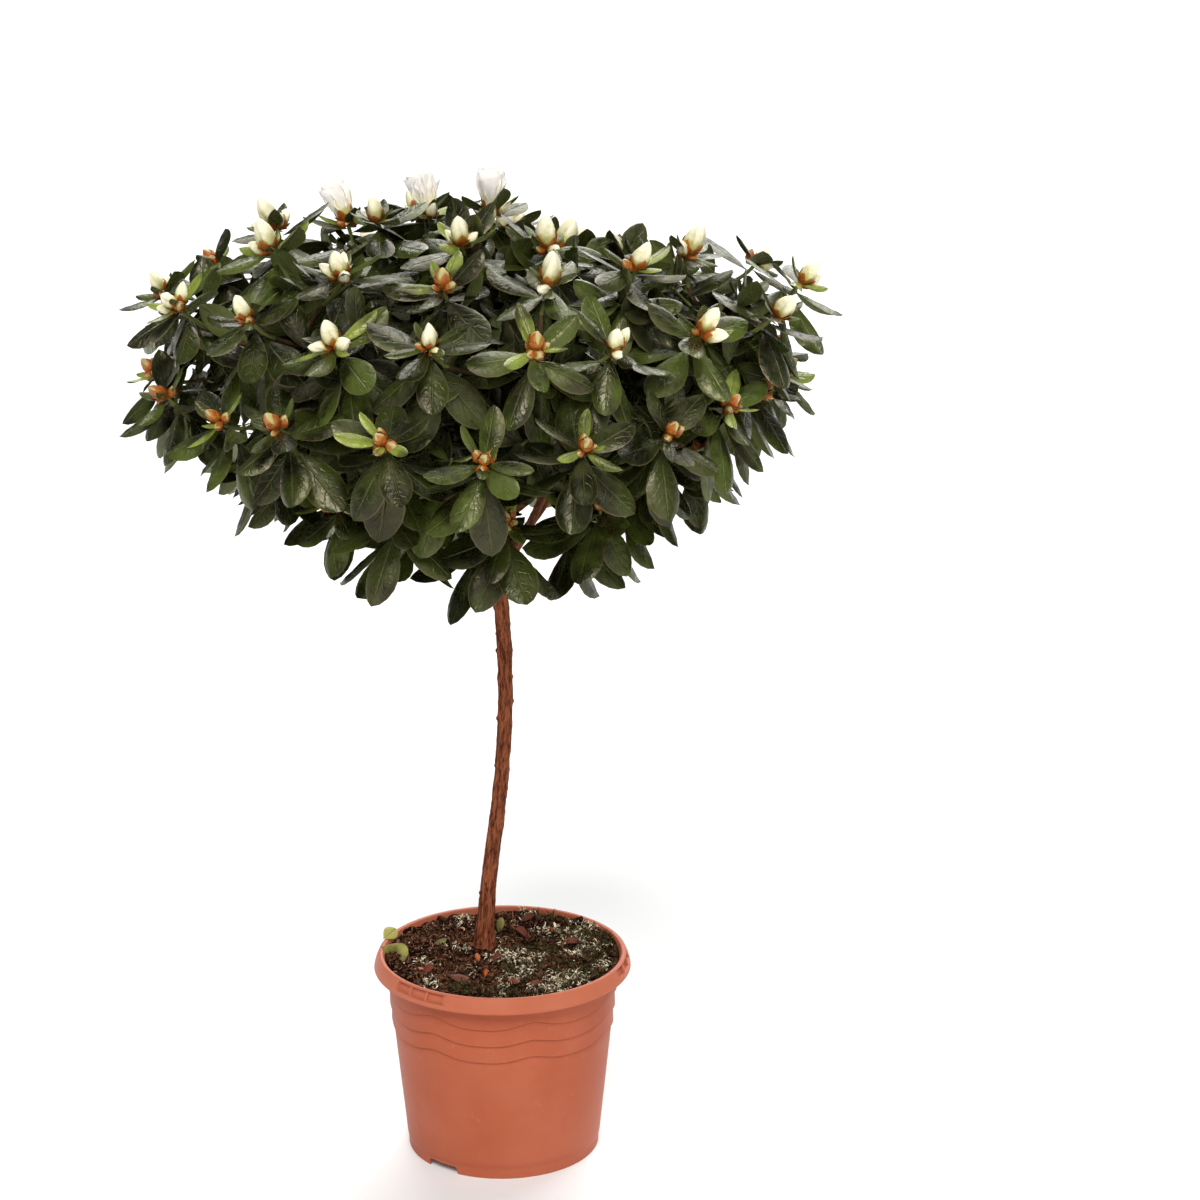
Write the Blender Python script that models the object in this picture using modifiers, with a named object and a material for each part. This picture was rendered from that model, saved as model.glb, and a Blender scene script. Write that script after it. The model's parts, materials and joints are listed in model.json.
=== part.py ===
"""Azalea standard: one clear stem in a plastic pot, under a wide crown of leafy sprays that end in buds.

Metres, +Z up, origin at the middle of the pot's flat underside, front towards -Y.
The trunk stands on the soil. Boughs leave its upper end, and each bough's tip carries one mass of foliage.
"""

import math
import random

import bmesh
import bpy
import numpy as np
from mathutils import Matrix, Vector, noise

SEED = 1788
GAP = 0.0003
UP = Vector((0, 0, 1))

# Pot: a moulded shell with a rolled rim, a raised floor, a foot ring and a pad under its middle.
POT_HEIGHT = 0.136
POT_WALL = 0.0018
ROUND_SIDES = 36
RIM_TOP_RADIUS = 0.0825
RIM_LIP_RADIUS = 0.0855
RIM_DEPTH = 0.0105
RIM_ROUND = 0.0012
SHOULDER_RADIUS = 0.0766
WAIST_RADIUS = 0.0715
WAIST_HEIGHT = 0.073
FOOT_RADIUS = 0.0640
FLOOR_HEIGHT = 0.0060
PAD_RADIUS = 0.018
DRAIN_HOLES = 6
DRAIN_RADIUS = 0.0045
DRAIN_CIRCLE = 0.042
DRAIN_SIDES = 8
NOTCH_ANGLES = (math.radians(52), math.radians(232))
NOTCH_WIDTH = 0.024
NOTCH_HEIGHT = 0.0052
NOTCH_DEPTH = 0.012

# Soil: fills the pot to just under its rim and rises a little towards the stem.
SOIL_EDGE_HEIGHT = 0.1292
SOIL_MIDDLE_HEIGHT = 0.1335
SOIL_ROUGHNESS = 0.0016
LUMPS_PER_METRE = 60
SOIL_RINGS = 5
FOOTHOLD_RADIUS = 0.016

# Trunk: leans from its foot to the pot's axis and bows on the way. Its radius is given at shares of its length.
TRUNK_FOOT = Vector((-0.0125, 0.014, SOIL_MIDDLE_HEIGHT + GAP))
TRUNK_TOP = Vector((0.0, 0.0, 0.455))
TRUNK_BOW = 0.009
TRUNK_TAPER = ((0.0, 0.0055), (0.3, 0.0049), (0.72, 0.0049), (1.0, 0.0038))
FLARE_RADIUS = 0.0028
FLARE_HEIGHT = 0.011
TRUNK_STEPS = 12
TRUNK_SIDES = 14

# Crown: an ellipsoid over which the sprays are spread, pushed out or in by lobes.
CROWN_CENTRE = Vector((-0.006, 0.0, 0.540))
CROWN_RADIUS = 0.196
CROWN_RISE = 0.088
CROWN_EDGE = math.radians(152)
# Each lobe: compass angle and angle from the crown's top in degrees, push in metres, spread in degrees.
LOBES = (
    (180, 35, 0.014, 24),
    (182, 78, 0.024, 22),
    (358, 58, 0.026, 18),
    (44, 37, -0.048, 17),
    (345, 94, -0.010, 15),
    (276, 122, 0.026, 24),
    (222, 122, -0.003, 20),
    (324, 118, -0.020, 20),
)

# Sprays: a shoot with a whorl of leaves and a bud at its tip.
SPRAY_SPACING = 0.061
SPRAY_RING_TURNS = (0.20, 0.70, 0.00, 0.05, 0.35, 0.40)
SPRAY_JITTER = 0.009
SPRAY_OUTWARD = 0.75
SHOOT_LENGTH = 0.024
SHOOT_RADIUS = 0.0022
FORK_RADIUS = 0.0016
STEM_RADIUS = 0.0026
TWIG_SIDES = 3
FIRST_FORK = 0.2

# Leaves: the first stands at the shoot's tip, and the last spreads and hangs at its foot. A pair holds both ends:
# the angle from the shoot in degrees, the pull down and the size.
SPRAY_LEAVES = 5
FIRST_LEAF = 0.005
LEAF_STEP = 0.0038
LEAF_LEANS = (58, 102)
LEAF_PULLS = (0.12, 0.50)
LEAF_SIZES = (0.80, 1.02)
LEAF_LENGTH = 0.051
LEAF_WIDTH = 0.031
LEAF_ROOT_DEPTH = 0.0018
LEAF_WIDEST = 0.58
LEAF_DROOP = 0.10
LEAF_FOLD = 0.085
GOLDEN_ANGLE = math.radians(137.5)
# A leaf that would leave its mass's space is tried again: lifted and swung by degrees, and scaled by a share.
LEAF_TRIES = (
    (0, 0, 1.0),
    (0, 18, 1.0),
    (0, -18, 1.0),
    (20, 0, 0.92),
    (20, 24, 0.86),
    (20, -24, 0.86),
    (38, 0, 0.86),
    (52, 0, 0.80),
    (20, 0, 0.70),
)

# Buds: one on each shoot, riper and larger towards the crown's top. The numbered sprays' are opening.
BUD_SIDES = 5
BUD_LENGTH = 0.028
BUD_WIDTH = 0.017
BUD_WIDEST = 0.42
BUD_SUNK = 0.12
OPEN_WIDTH = 1.5
OPENING = (0, 3, 11)

# Boughs: spread over the crown by the same rule as the sprays, further apart. The top one goes on from the trunk,
# and the others leave it one above another, tier by tier.
BOUGH_TIERS = (("top", None), ("upper", 0.436), ("lower", 0.408))
BOUGH_ROOT_STEP = 0.006
BOUGH_RISE = math.radians(28)
BOUGH_SPACING = 0.158
BOUGH_RING_TURNS = (0.75, 0.25)
BOUGH_RADIUS = 0.0030
BOUGH_TIP_RADIUS = 0.0021
BOUGH_STEPS = 5
BOUGH_SIDES = 6
BOUGH_REACH = 0.50
HUB_REACH = 0.68
CROWN_HEART = Vector((0.0, 0.0, 0.470))

# Room: how far a leaf stays from the border between two masses and from limbs. Paths are tested at points.
SPACE_MARGIN = 0.0012
LIMB_MARGIN = 0.0012
POINT_SPACING = 0.004

COLOURS = {
    "terracotta plastic": ((0.52, 0.17, 0.085), 0.5),
    "potting soil": ((0.045, 0.026, 0.016), 0.95),
    "bark": ((0.22, 0.085, 0.045), 0.85),
    "foliage": ((0.045, 0.075, 0.032), 0.4),
}


def clear_scene():
    for old in list(bpy.data.objects):
        bpy.data.objects.remove(old, do_unlink=True)


def make_material(name):
    colour, roughness = COLOURS[name]
    made = bpy.data.materials.new(name)
    made.use_nodes = True
    shader = made.node_tree.nodes["Principled BSDF"]
    shader.inputs["Base Color"].default_value = (*colour, 1)
    shader.inputs["Roughness"].default_value = roughness
    shader.inputs["Metallic"].default_value = 0
    return made


def make_collection(name):
    made = bpy.data.collections.new(name)
    bpy.context.scene.collection.children.link(made)
    return made


def make_object(name, mesh, collection, material=None):
    if material and not mesh.materials:
        mesh.materials.append(material)
    made = bpy.data.objects.new(name, mesh)
    collection.objects.link(made)
    return made


def mesh_from(shape, name):
    """Turns a bmesh into a mesh whose faces point out."""
    bmesh.ops.recalc_face_normals(shape, faces=shape.faces)
    mesh = bpy.data.meshes.new(name)
    shape.to_mesh(mesh)
    shape.free()
    return mesh


def apply_modifiers(made):
    """Replaces an object's mesh by what its modifiers make of it."""
    graph = bpy.context.evaluated_depsgraph_get()
    mesh = bpy.data.meshes.new_from_object(made.evaluated_get(graph))
    made.modifiers.clear()
    made.data = mesh


# ---------------------------------------------------------------- pot and soil


def turned(name, profile, collection, material):
    """A profile of (radius, height) points turned about Z, from the axis inside to the axis below."""
    mesh = bpy.data.meshes.new(name)
    points = [(radius, 0, height) for radius, height in profile]
    mesh.from_pydata(points, [(i, i + 1) for i in range(len(points) - 1)], [])
    made = make_object(name, mesh, collection, material)
    screw = made.modifiers.new("turn", "SCREW")
    screw.steps = screw.render_steps = ROUND_SIDES
    screw.use_merge_vertices = True
    screw.merge_threshold = 0.00005
    apply_modifiers(made)
    made.data.set_sharp_from_angle(angle=math.radians(30))
    return made


def wall_radius(height):
    """The pot's outer radius under its rim."""
    if height > WAIST_HEIGHT:
        share = (height - WAIST_HEIGHT) / (POT_HEIGHT - RIM_DEPTH - WAIST_HEIGHT)
        return WAIST_RADIUS + share * (SHOULDER_RADIUS - WAIST_RADIUS)
    return FOOT_RADIUS + height / WAIST_HEIGHT * (WAIST_RADIUS - FOOT_RADIUS)


def pot_profile():
    lip_height = POT_HEIGHT - RIM_DEPTH
    floor_top = FLOOR_HEIGHT + POT_WALL
    inside = [(wall_radius(z) - POT_WALL, z) for z in (floor_top, WAIST_HEIGHT, lip_height)]
    rim = [
        (RIM_TOP_RADIUS - 0.0035, POT_HEIGHT - RIM_ROUND),
        (RIM_TOP_RADIUS - 0.0020, POT_HEIGHT),
        (RIM_TOP_RADIUS, POT_HEIGHT - RIM_ROUND),
        (RIM_LIP_RADIUS, lip_height + RIM_ROUND),
        (RIM_LIP_RADIUS - RIM_ROUND, lip_height),
        (SHOULDER_RADIUS + 0.0010, lip_height),
    ]
    outside = [(wall_radius(z), z) for z in (lip_height - 0.004, WAIST_HEIGHT, 0.0)]
    foot = [
        (FOOT_RADIUS - POT_WALL, 0.0),
        (FOOT_RADIUS - POT_WALL, FLOOR_HEIGHT),
        (PAD_RADIUS, FLOOR_HEIGHT),
        (PAD_RADIUS, 0.0),
        (0.0, 0.0),
    ]
    return [(0.0, floor_top), *inside, *rim, *outside, *foot]


def add_cutter(shape, name, cutters):
    made = make_object(name, mesh_from(shape, name), cutters)
    made.hide_render = True
    made.display_type = "WIRE"
    return made


def drain_cutter(angle, cutters):
    shape = bmesh.new()
    place = Matrix.Rotation(angle, 4, "Z") @ Matrix.Translation((DRAIN_CIRCLE, 0, FLOOR_HEIGHT))
    bmesh.ops.create_cone(
        shape,
        cap_ends=True,
        segments=DRAIN_SIDES,
        radius1=DRAIN_RADIUS,
        radius2=DRAIN_RADIUS,
        depth=4 * POT_WALL,
        matrix=place,
    )
    return add_cutter(shape, "drain_cutter", cutters)


def notch_cutter(angle, cutters):
    """A block through the foot ring, open downwards."""
    shape = bmesh.new()
    size = Matrix.Diagonal((NOTCH_DEPTH, NOTCH_WIDTH, 2 * NOTCH_HEIGHT, 1))
    place = Matrix.Rotation(angle, 4, "Z") @ Matrix.Translation((FOOT_RADIUS, 0, 0))
    bmesh.ops.create_cube(shape, size=1, matrix=place @ size)
    return add_cutter(shape, "notch_cutter", cutters)


def make_pot(collection, cutters, material):
    pot = turned("pot", pot_profile(), collection, material)
    made = [drain_cutter(math.tau * k / DRAIN_HOLES, cutters) for k in range(DRAIN_HOLES)]
    made += [notch_cutter(angle, cutters) for angle in NOTCH_ANGLES]
    for cutter in made:
        cut = pot.modifiers.new(cutter.name, "BOOLEAN")
        cut.operation = "DIFFERENCE"
        cut.object = cutter
    return pot


def soil_height(x, y):
    """The soil's surface: a low mound with lumps, level where the trunk stands."""
    share = min(1.0, math.hypot(x, y) / SHOULDER_RADIUS)
    mound = SOIL_MIDDLE_HEIGHT + (SOIL_EDGE_HEIGHT - SOIL_MIDDLE_HEIGHT) * share**2
    lumps = SOIL_ROUGHNESS * noise.noise(Vector((x, y, 0)) * LUMPS_PER_METRE)
    from_trunk = math.hypot(x - TRUNK_FOOT.x, y - TRUNK_FOOT.y)
    level = min(1.0, max(0.0, from_trunk / FOOTHOLD_RADIUS - 1.0))
    return SOIL_MIDDLE_HEIGHT + level * (mound + lumps - SOIL_MIDDLE_HEIGHT)


def make_soil(collection, material):
    """Inside the pot's wall and over its floor, with rings of points on top that follow the mound."""
    low = FLOOR_HEIGHT + POT_WALL + GAP
    inner = [(wall_radius(z) - POT_WALL - GAP, z) for z in (WAIST_HEIGHT, low)]
    edge = wall_radius(SOIL_EDGE_HEIGHT - RIM_DEPTH) - POT_WALL - GAP
    rings = [(edge * k / SOIL_RINGS, SOIL_MIDDLE_HEIGHT) for k in range(SOIL_RINGS + 1)]
    soil = turned("soil", [*rings, *inner, (0.0, low)], collection, material)
    for point in soil.data.vertices:
        if point.co.z > SOIL_EDGE_HEIGHT:
            point.co.z = soil_height(point.co.x, point.co.y)
    return soil


# ---------------------------------------------------------------- trunk


def trunk_point(share):
    """A point of the trunk's centre line, from its foot at 0 to its top at 1."""
    bow = TRUNK_BOW * math.sin(math.pi * share) ** 2
    return TRUNK_FOOT.lerp(TRUNK_TOP, share) + Vector((bow, 0, 0))


def trunk_radius(share):
    """The taper, with the root flare added near the foot."""
    above = share * (TRUNK_TOP.z - TRUNK_FOOT.z)
    shares, radii = zip(*TRUNK_TAPER)
    return float(np.interp(share, shares, radii)) + FLARE_RADIUS * math.exp(-above / FLARE_HEIGHT)


def trunk_share(height):
    return (height - TRUNK_FOOT.z) / (TRUNK_TOP.z - TRUNK_FOOT.z)


def limb_profile(sides):
    """A regular outline of radius 1, which a limb's curve is given as its section."""
    curve = bpy.data.curves.new("limb_profile", "CURVE")
    curve.dimensions = "2D"
    spline = curve.splines.new("POLY")
    spline.points.add(sides - 1)
    spline.use_cyclic_u = True
    for k, point in enumerate(spline.points):
        angle = math.tau * k / sides
        point.co = (math.cos(angle), math.sin(angle), 0, 1)
    return bpy.data.objects.new("limb_profile", curve)


def limb(name, path, radii, sides, collection, material=None):
    """A tapering limb with flat ends along a path, made a closed mesh."""
    curve = bpy.data.curves.new(name, "CURVE")
    curve.dimensions = "3D"
    curve.bevel_mode = "OBJECT"
    curve.bevel_object = limb_profile(sides)
    curve.use_fill_caps = True
    spline = curve.splines.new("POLY")
    spline.points.add(len(path) - 1)
    for point, place, radius in zip(spline.points, path, radii):
        point.co = (*place, 1)
        point.radius = radius
    guide = bpy.data.objects.new(name, curve)
    for helper in (curve.bevel_object, guide):
        collection.objects.link(helper)
    graph = bpy.context.evaluated_depsgraph_get()
    mesh = bpy.data.meshes.new_from_object(guide.evaluated_get(graph))
    for helper in (curve.bevel_object, guide):
        bpy.data.objects.remove(helper)
    shape = bmesh.new()
    shape.from_mesh(mesh)
    bmesh.ops.remove_doubles(shape, verts=shape.verts, dist=0.00002)
    mesh = mesh_from(shape, name)
    mesh.shade_smooth()
    mesh.set_sharp_from_angle(angle=math.radians(40))
    return make_object(name, mesh, collection, material)


def make_trunk(collection, material):
    """The lowest stretch is upright, so that the foot is a level cut on the soil."""
    steps = [(k / TRUNK_STEPS) ** 1.15 for k in range(TRUNK_STEPS + 1)]
    points = [trunk_point(share) for share in steps]
    points[1].x, points[1].y = points[0].x, points[0].y
    return limb("trunk", points, [trunk_radius(s) for s in steps], TRUNK_SIDES, collection, material)


# ---------------------------------------------------------------- where the crown's pieces grow


def mix(ends, share):
    return ends[0] + (ends[1] - ends[0]) * share


def degrees_apart(first, second):
    return abs((first - second + 180) % 360 - 180)


def crown_point(compass, polar):
    """A point of the crown's surface, at a compass angle from +X and an angle from the crown's top."""
    side = Vector((math.cos(compass), math.sin(compass), 0))
    place = side * CROWN_RADIUS * math.sin(polar) + UP * CROWN_RISE * math.cos(polar)
    push = 0.0
    for lobe_compass, lobe_polar, reach, spread in LOBES:
        around = degrees_apart(math.degrees(compass), lobe_compass) * math.sin(polar)
        along = math.degrees(polar) - lobe_polar
        push += reach * math.exp(-(around**2 + along**2) / (2 * spread**2))
    return CROWN_CENTRE + place + place.normalized() * push


def spread_over_crown(spacing, ring_turns):
    """(tier, compass, polar) of points about spacing apart: one on top, then rings down the crown."""
    found = [(0, 0.0, 0.0)]
    walked, tier, polar = 0.0, 1, 0.0
    step = math.radians(0.5)
    while polar < CROWN_EDGE:
        arc = math.hypot(CROWN_RADIUS * math.cos(polar), CROWN_RISE * math.sin(polar))
        walked += arc * step
        polar += step
        if walked >= spacing * tier:
            around = math.tau * CROWN_RADIUS * math.sin(polar)
            count = max(4, round(around / spacing))
            for k in range(count):
                found.append((tier, math.tau * (k + ring_turns[tier - 1]) / count, polar))
            tier += 1
    return found


class Spray:
    """One shoot: where its tip is, which way it points, and the bough whose mass it belongs to."""

    def __init__(self, number, compass, polar):
        self.chance = random.Random(SEED * 1000 + number)
        jitter = [self.chance.uniform(-1, 1) for _ in range(3)]
        around = max(0.25, math.sin(polar)) * CROWN_RADIUS
        compass += jitter[0] * SPRAY_JITTER / around
        polar = abs(polar + jitter[1] * SPRAY_JITTER / CROWN_RADIUS)
        self.tip = crown_point(compass, polar)
        outward = Vector((math.cos(compass), math.sin(compass), 0)) * math.sin(polar)
        upward = 1.0 - (1.0 - SPRAY_OUTWARD) * math.sin(polar)
        self.axis = (outward * SPRAY_OUTWARD + UP * upward).normalized()
        self.tip += self.axis * jitter[2] * SPRAY_JITTER * 0.6
        self.foot = self.tip - self.axis * SHOOT_LENGTH
        self.turn = self.chance.uniform(0, math.tau)
        ripeness = (1.0 + math.cos(polar)) / 2 + self.chance.uniform(-0.2, 0.2)
        self.ripeness = min(1.0, max(0.0, ripeness))
        self.opens = number in OPENING


def bezier(start, lead, follow, end, steps):
    """Points along a cubic curve that leaves start towards lead and reaches end from follow."""
    found = []
    for k in range(steps + 1):
        t = k / steps
        weights = ((1 - t) ** 3, 3 * t * (1 - t) ** 2, 3 * t**2 * (1 - t), t**3)
        corners = (start, lead, follow, end)
        found.append(sum((c * w for c, w in zip(corners, weights)), Vector()))
    return found


class Bough:
    """One limb from the trunk to the stem of its mass of foliage."""

    def __init__(self, name, compass, polar, root_height):
        self.name = name
        self.aim = crown_point(compass, polar)
        self.tip = CROWN_HEART.lerp(self.aim, BOUGH_REACH)
        self.hub = CROWN_HEART.lerp(self.aim, HUB_REACH)
        self.sprays = []
        onward = (self.hub - self.tip).normalized()
        if root_height is None:
            start_way = (TRUNK_TOP - trunk_point(1 - 1 / TRUNK_STEPS)).normalized()
            self.root = TRUNK_TOP + start_way * GAP
        else:
            share = trunk_share(root_height)
            side = Vector((math.cos(compass), math.sin(compass), 0))
            start_way = (side * math.cos(BOUGH_RISE) + UP * math.sin(BOUGH_RISE)).normalized()
            clear = trunk_radius(share) + GAP + BOUGH_RADIUS * math.sin(BOUGH_RISE)
            self.root = trunk_point(share) + side * clear
        length = (self.tip - self.root).length
        lead = self.root + start_way * length * 0.35
        follow = self.tip - onward * length * 0.3
        self.points = bezier(self.root, lead, follow, self.tip, BOUGH_STEPS)
        self.points[1] = self.root + start_way * (self.points[1] - self.root).length
        self.points[-2] = self.tip - onward * (self.tip - self.points[-2]).length
        self.stem_foot = self.tip + onward * GAP

    def radii(self):
        return [mix((BOUGH_RADIUS, BOUGH_TIP_RADIUS), k / BOUGH_STEPS) for k in range(BOUGH_STEPS + 1)]


def plan_boughs():
    boughs, count = [], {}
    for tier, compass, polar in spread_over_crown(BOUGH_SPACING, BOUGH_RING_TURNS):
        count[tier] = count.get(tier, 0) + 1
        name, height = BOUGH_TIERS[tier]
        if height is not None:
            name += f"_{count[tier]}"
            height += BOUGH_ROOT_STEP * (count[tier] % 3)
        boughs.append(Bough(name, compass, polar, height))
    return boughs


def plan_sprays(boughs):
    """Spreads the sprays over the crown and gives each to the bough that aims nearest to it."""
    sprays = []
    for number, (_, compass, polar) in enumerate(spread_over_crown(SPRAY_SPACING, SPRAY_RING_TURNS)):
        spray = Spray(number, compass, polar)
        near = min(boughs, key=lambda bough: (bough.aim - spray.tip).length)
        near.sprays.append(spray)
        sprays.append(spray)
    return sprays


def path_points(path):
    """Points along a path, at most POINT_SPACING apart."""
    found = [path[0]]
    for start, end in zip(path, path[1:]):
        count = math.ceil((end - start).length / POINT_SPACING)
        found += [start.lerp(end, k / count) for k in range(1, count + 1)]
    return found


def plan_twigs(bough):
    """(spray, path) of a mass's twigs. The first goes on from the bough, and the others leave it in turn."""
    forward = bough.hub - bough.stem_foot
    sprays = sorted(bough.sprays, key=lambda spray: forward.angle(spray.tip - bough.stem_foot))
    leader = sprays[0]
    twigs = [(leader, [bough.stem_foot, bough.hub, leader.foot, leader.tip])]
    for number, spray in enumerate(sprays[:0:-1]):
        share = FIRST_FORK + (1.0 - FIRST_FORK) * number / max(1, len(sprays) - 2)
        twigs.append((spray, [bough.stem_foot.lerp(bough.hub, share), spray.foot, spray.tip]))
    return twigs


class Spaces:
    """Which mass a point of the crown belongs to: the one whose twigs are nearest. Limbs belong to none."""

    def __init__(self, boughs):
        self.twigs = {}
        for bough in boughs:
            paths = [path for _, path in plan_twigs(bough)]
            self.twigs[bough.name] = [point for path in paths for point in path_points(path)]
        shares = np.linspace(0, 1, round((TRUNK_TOP.z - TRUNK_FOOT.z) / POINT_SPACING))
        self.limbs = [(trunk_point(share), trunk_radius(share)) for share in shares]
        for bough in boughs:
            self.limbs += [(place, BOUGH_RADIUS) for place in path_points(bough.points)]

    def holds(self, name, points):
        """Whether every point lies in the named mass's space, clear of the others' and of the limbs."""
        for point in points:
            own = min((point - twig).length for twig in self.twigs[name])
            for other, twigs in self.twigs.items():
                if other == name:
                    continue
                if min((point - twig).length for twig in twigs) < own + 2 * SPACE_MARGIN:
                    return False
            for place, radius in self.limbs:
                if (point - place).length < radius + LIMB_MARGIN:
                    return False
        return True


# ---------------------------------------------------------------- foliage


def hull(points, name):
    """The closed convex solid round the points."""
    shape = bmesh.new()
    for point in points:
        shape.verts.new(point)
    bmesh.ops.convex_hull(shape, input=shape.verts)
    return mesh_from(shape, name)


def bud_mesh(spray):
    """A plump bud, pointed at both ends, with its lower end sunk round a shoot's tip."""
    length = BUD_LENGTH * (0.6 + 0.4 * spray.ripeness)
    width = BUD_WIDTH * (OPEN_WIDTH if spray.opens else 0.7 + 0.3 * spray.ripeness)
    foot = spray.tip - spray.axis * length * BUD_SUNK
    waist = foot + spray.axis * length * BUD_WIDEST
    side = spray.axis.orthogonal().normalized() * width / 2
    turns = [Matrix.Rotation(math.tau * k / BUD_SIDES, 3, spray.axis) for k in range(BUD_SIDES)]
    return hull([foot, foot + spray.axis * length, *(waist + turn @ side for turn in turns)], "bud")


def leaf_points(root, way, face, length, width):
    """The five corners of a leaf: its root's upper and lower edge, its two sides and its hanging tip."""
    side = way.cross(face).normalized()
    face = side.cross(way).normalized()
    widest = root + way * length * LEAF_WIDEST - face * length * LEAF_FOLD
    return [
        root + face * LEAF_ROOT_DEPTH / 2,
        root - face * LEAF_ROOT_DEPTH / 2,
        widest + side * width / 2,
        widest - side * width / 2,
        root + way * length - face * length * LEAF_DROOP,
    ]


def leaf_probes(corners):
    """Points over a leaf at which its space is tested."""
    root, _, left, right, tip = corners
    probes = [left, right, tip, (left + right) / 2]
    for share in (0.35, 0.7):
        probes += [left.lerp(tip, share), right.lerp(tip, share)]
        probes += [root.lerp(left, 0.3 + share / 2), root.lerp(right, 0.3 + share / 2)]
    return probes


def spray_leaves(spray, name, spaces):
    """The whorl round a shoot's tip, as the corners of each leaf that finds room."""
    across = spray.axis.orthogonal().normalized()
    found = []
    for k in range(SPRAY_LEAVES):
        age = k / (SPRAY_LEAVES - 1)
        angle = mix(LEAF_LEANS, age) + spray.chance.uniform(-8, 8)
        pull = mix(LEAF_PULLS, age) + spray.chance.uniform(-0.08, 0.08)
        size = mix(LEAF_SIZES, age) + spray.chance.uniform(-0.05, 0.05)
        swing = spray.turn + k * GOLDEN_ANGLE + spray.chance.uniform(-0.15, 0.15)
        root = spray.tip - spray.axis * (FIRST_LEAF + LEAF_STEP * k)
        for lift, more_swing, scale in LEAF_TRIES:
            around = Matrix.Rotation(swing + math.radians(more_swing), 3, spray.axis) @ across
            lean = math.radians(angle - lift)
            way = spray.axis * math.cos(lean) + around * math.sin(lean)
            way = (way - UP * pull).normalized()
            face = spray.axis * 0.7 + UP * 0.5
            length, width = LEAF_LENGTH * size * scale, LEAF_WIDTH * size * scale
            corners = leaf_points(root, way, face, length, width)
            if spaces.holds(name, leaf_probes(corners)):
                found.append(corners)
                break
    return found


def join_into(made, loose):
    """Joins the loose collection's solids to an object, which becomes one solid, and removes them."""
    join = made.modifiers.new("join", "BOOLEAN")
    join.operation = "UNION"
    join.operand_type = "COLLECTION"
    join.collection = loose
    join.solver = "MANIFOLD"
    apply_modifiers(made)
    for piece in list(loose.objects):
        bpy.data.objects.remove(piece)
    bpy.data.collections.remove(loose)


def make_mass(bough, spaces, collection, material):
    """One mass: a stem, a twig to each spray, and the sprays' leaves and buds, joined into one solid."""
    name = "foliage_" + bough.name
    loose = make_collection(name + "_pieces")
    (leader, stem_path), *twigs = plan_twigs(bough)
    stem_radii = [BOUGH_TIP_RADIUS, STEM_RADIUS, SHOOT_RADIUS, SHOOT_RADIUS]
    mass = limb(name, stem_path, stem_radii, TWIG_SIDES, collection, material)
    grown = [leader]
    for spray, path in twigs:
        if spaces.holds(bough.name, path_points(path)):
            limb(name + "_twig", path, [FORK_RADIUS, SHOOT_RADIUS, SHOOT_RADIUS], TWIG_SIDES, loose)
            grown.append(spray)
    for spray in grown:
        make_object(name + "_bud", bud_mesh(spray), loose)
        for corners in spray_leaves(spray, bough.name, spaces):
            make_object(name + "_leaf", hull(corners, "leaf"), loose)
    join_into(mass, loose)
    return mass


def main():
    clear_scene()
    materials = {name: make_material(name) for name in COLOURS}
    plant = make_collection("azalea standard")
    cutters = make_collection("cutters")
    make_pot(plant, cutters, materials["terracotta plastic"])
    make_soil(plant, materials["potting soil"])
    make_trunk(plant, materials["bark"])
    boughs = plan_boughs()
    plan_sprays(boughs)
    spaces = Spaces(boughs)
    for bough in boughs:
        limb("bough_" + bough.name, bough.points, bough.radii(), BOUGH_SIDES, plant, materials["bark"])
        make_mass(bough, spaces, plant, materials["foliage"])


main()
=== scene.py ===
"""Azalea standard in its pot: the finish of every surface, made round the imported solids.

Metres, +Z up, origin at the middle of the pot's flat underside, front towards -Y.
Each operator makes one piece or a group of like pieces. The limbs, twigs and leaves grow by one seeded rule.
"""

import json
import math
import random

import bmesh
import bpy
import numpy as np
from bpy.props import FloatProperty, FloatVectorProperty, IntProperty, PointerProperty
from mathutils import Matrix, Vector, noise

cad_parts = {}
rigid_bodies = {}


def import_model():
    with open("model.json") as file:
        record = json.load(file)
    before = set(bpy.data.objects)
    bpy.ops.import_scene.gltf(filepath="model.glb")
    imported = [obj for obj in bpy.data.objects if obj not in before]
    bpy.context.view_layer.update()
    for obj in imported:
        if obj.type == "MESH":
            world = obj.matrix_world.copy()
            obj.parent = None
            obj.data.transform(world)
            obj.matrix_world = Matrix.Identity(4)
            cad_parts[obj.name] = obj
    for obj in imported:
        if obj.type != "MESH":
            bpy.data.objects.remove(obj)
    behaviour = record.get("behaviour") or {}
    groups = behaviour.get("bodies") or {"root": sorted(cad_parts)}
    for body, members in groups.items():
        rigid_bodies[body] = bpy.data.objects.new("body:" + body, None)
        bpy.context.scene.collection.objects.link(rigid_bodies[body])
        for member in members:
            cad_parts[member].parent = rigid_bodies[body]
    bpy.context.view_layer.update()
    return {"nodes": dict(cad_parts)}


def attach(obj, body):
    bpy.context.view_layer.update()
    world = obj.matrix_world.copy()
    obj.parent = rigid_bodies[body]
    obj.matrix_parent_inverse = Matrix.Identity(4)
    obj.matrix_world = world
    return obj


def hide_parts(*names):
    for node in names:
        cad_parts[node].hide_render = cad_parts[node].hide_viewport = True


bl_info = {
    "name": "Azalea Standard",
    "version": (1, 0, 0),
    "blender": (4, 5, 0),
    "location": "View3D > Sidebar > Azalea",
    "description": "A potted azalea on one stem, with its leaves, buds and blooms",
    "category": "Add Mesh",
}

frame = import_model()
LIMBS = [name for name in frame["nodes"] if name == "trunk" or name.startswith("bough_")]
MASSES = [name for name in frame["nodes"] if name.startswith("foliage_")]

SEED = 1788
# noise_vector draws on a seed of its own, which is the clock's unless it is set.
noise.seed_set(SEED)
UP = Vector((0, 0, 1))

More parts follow.
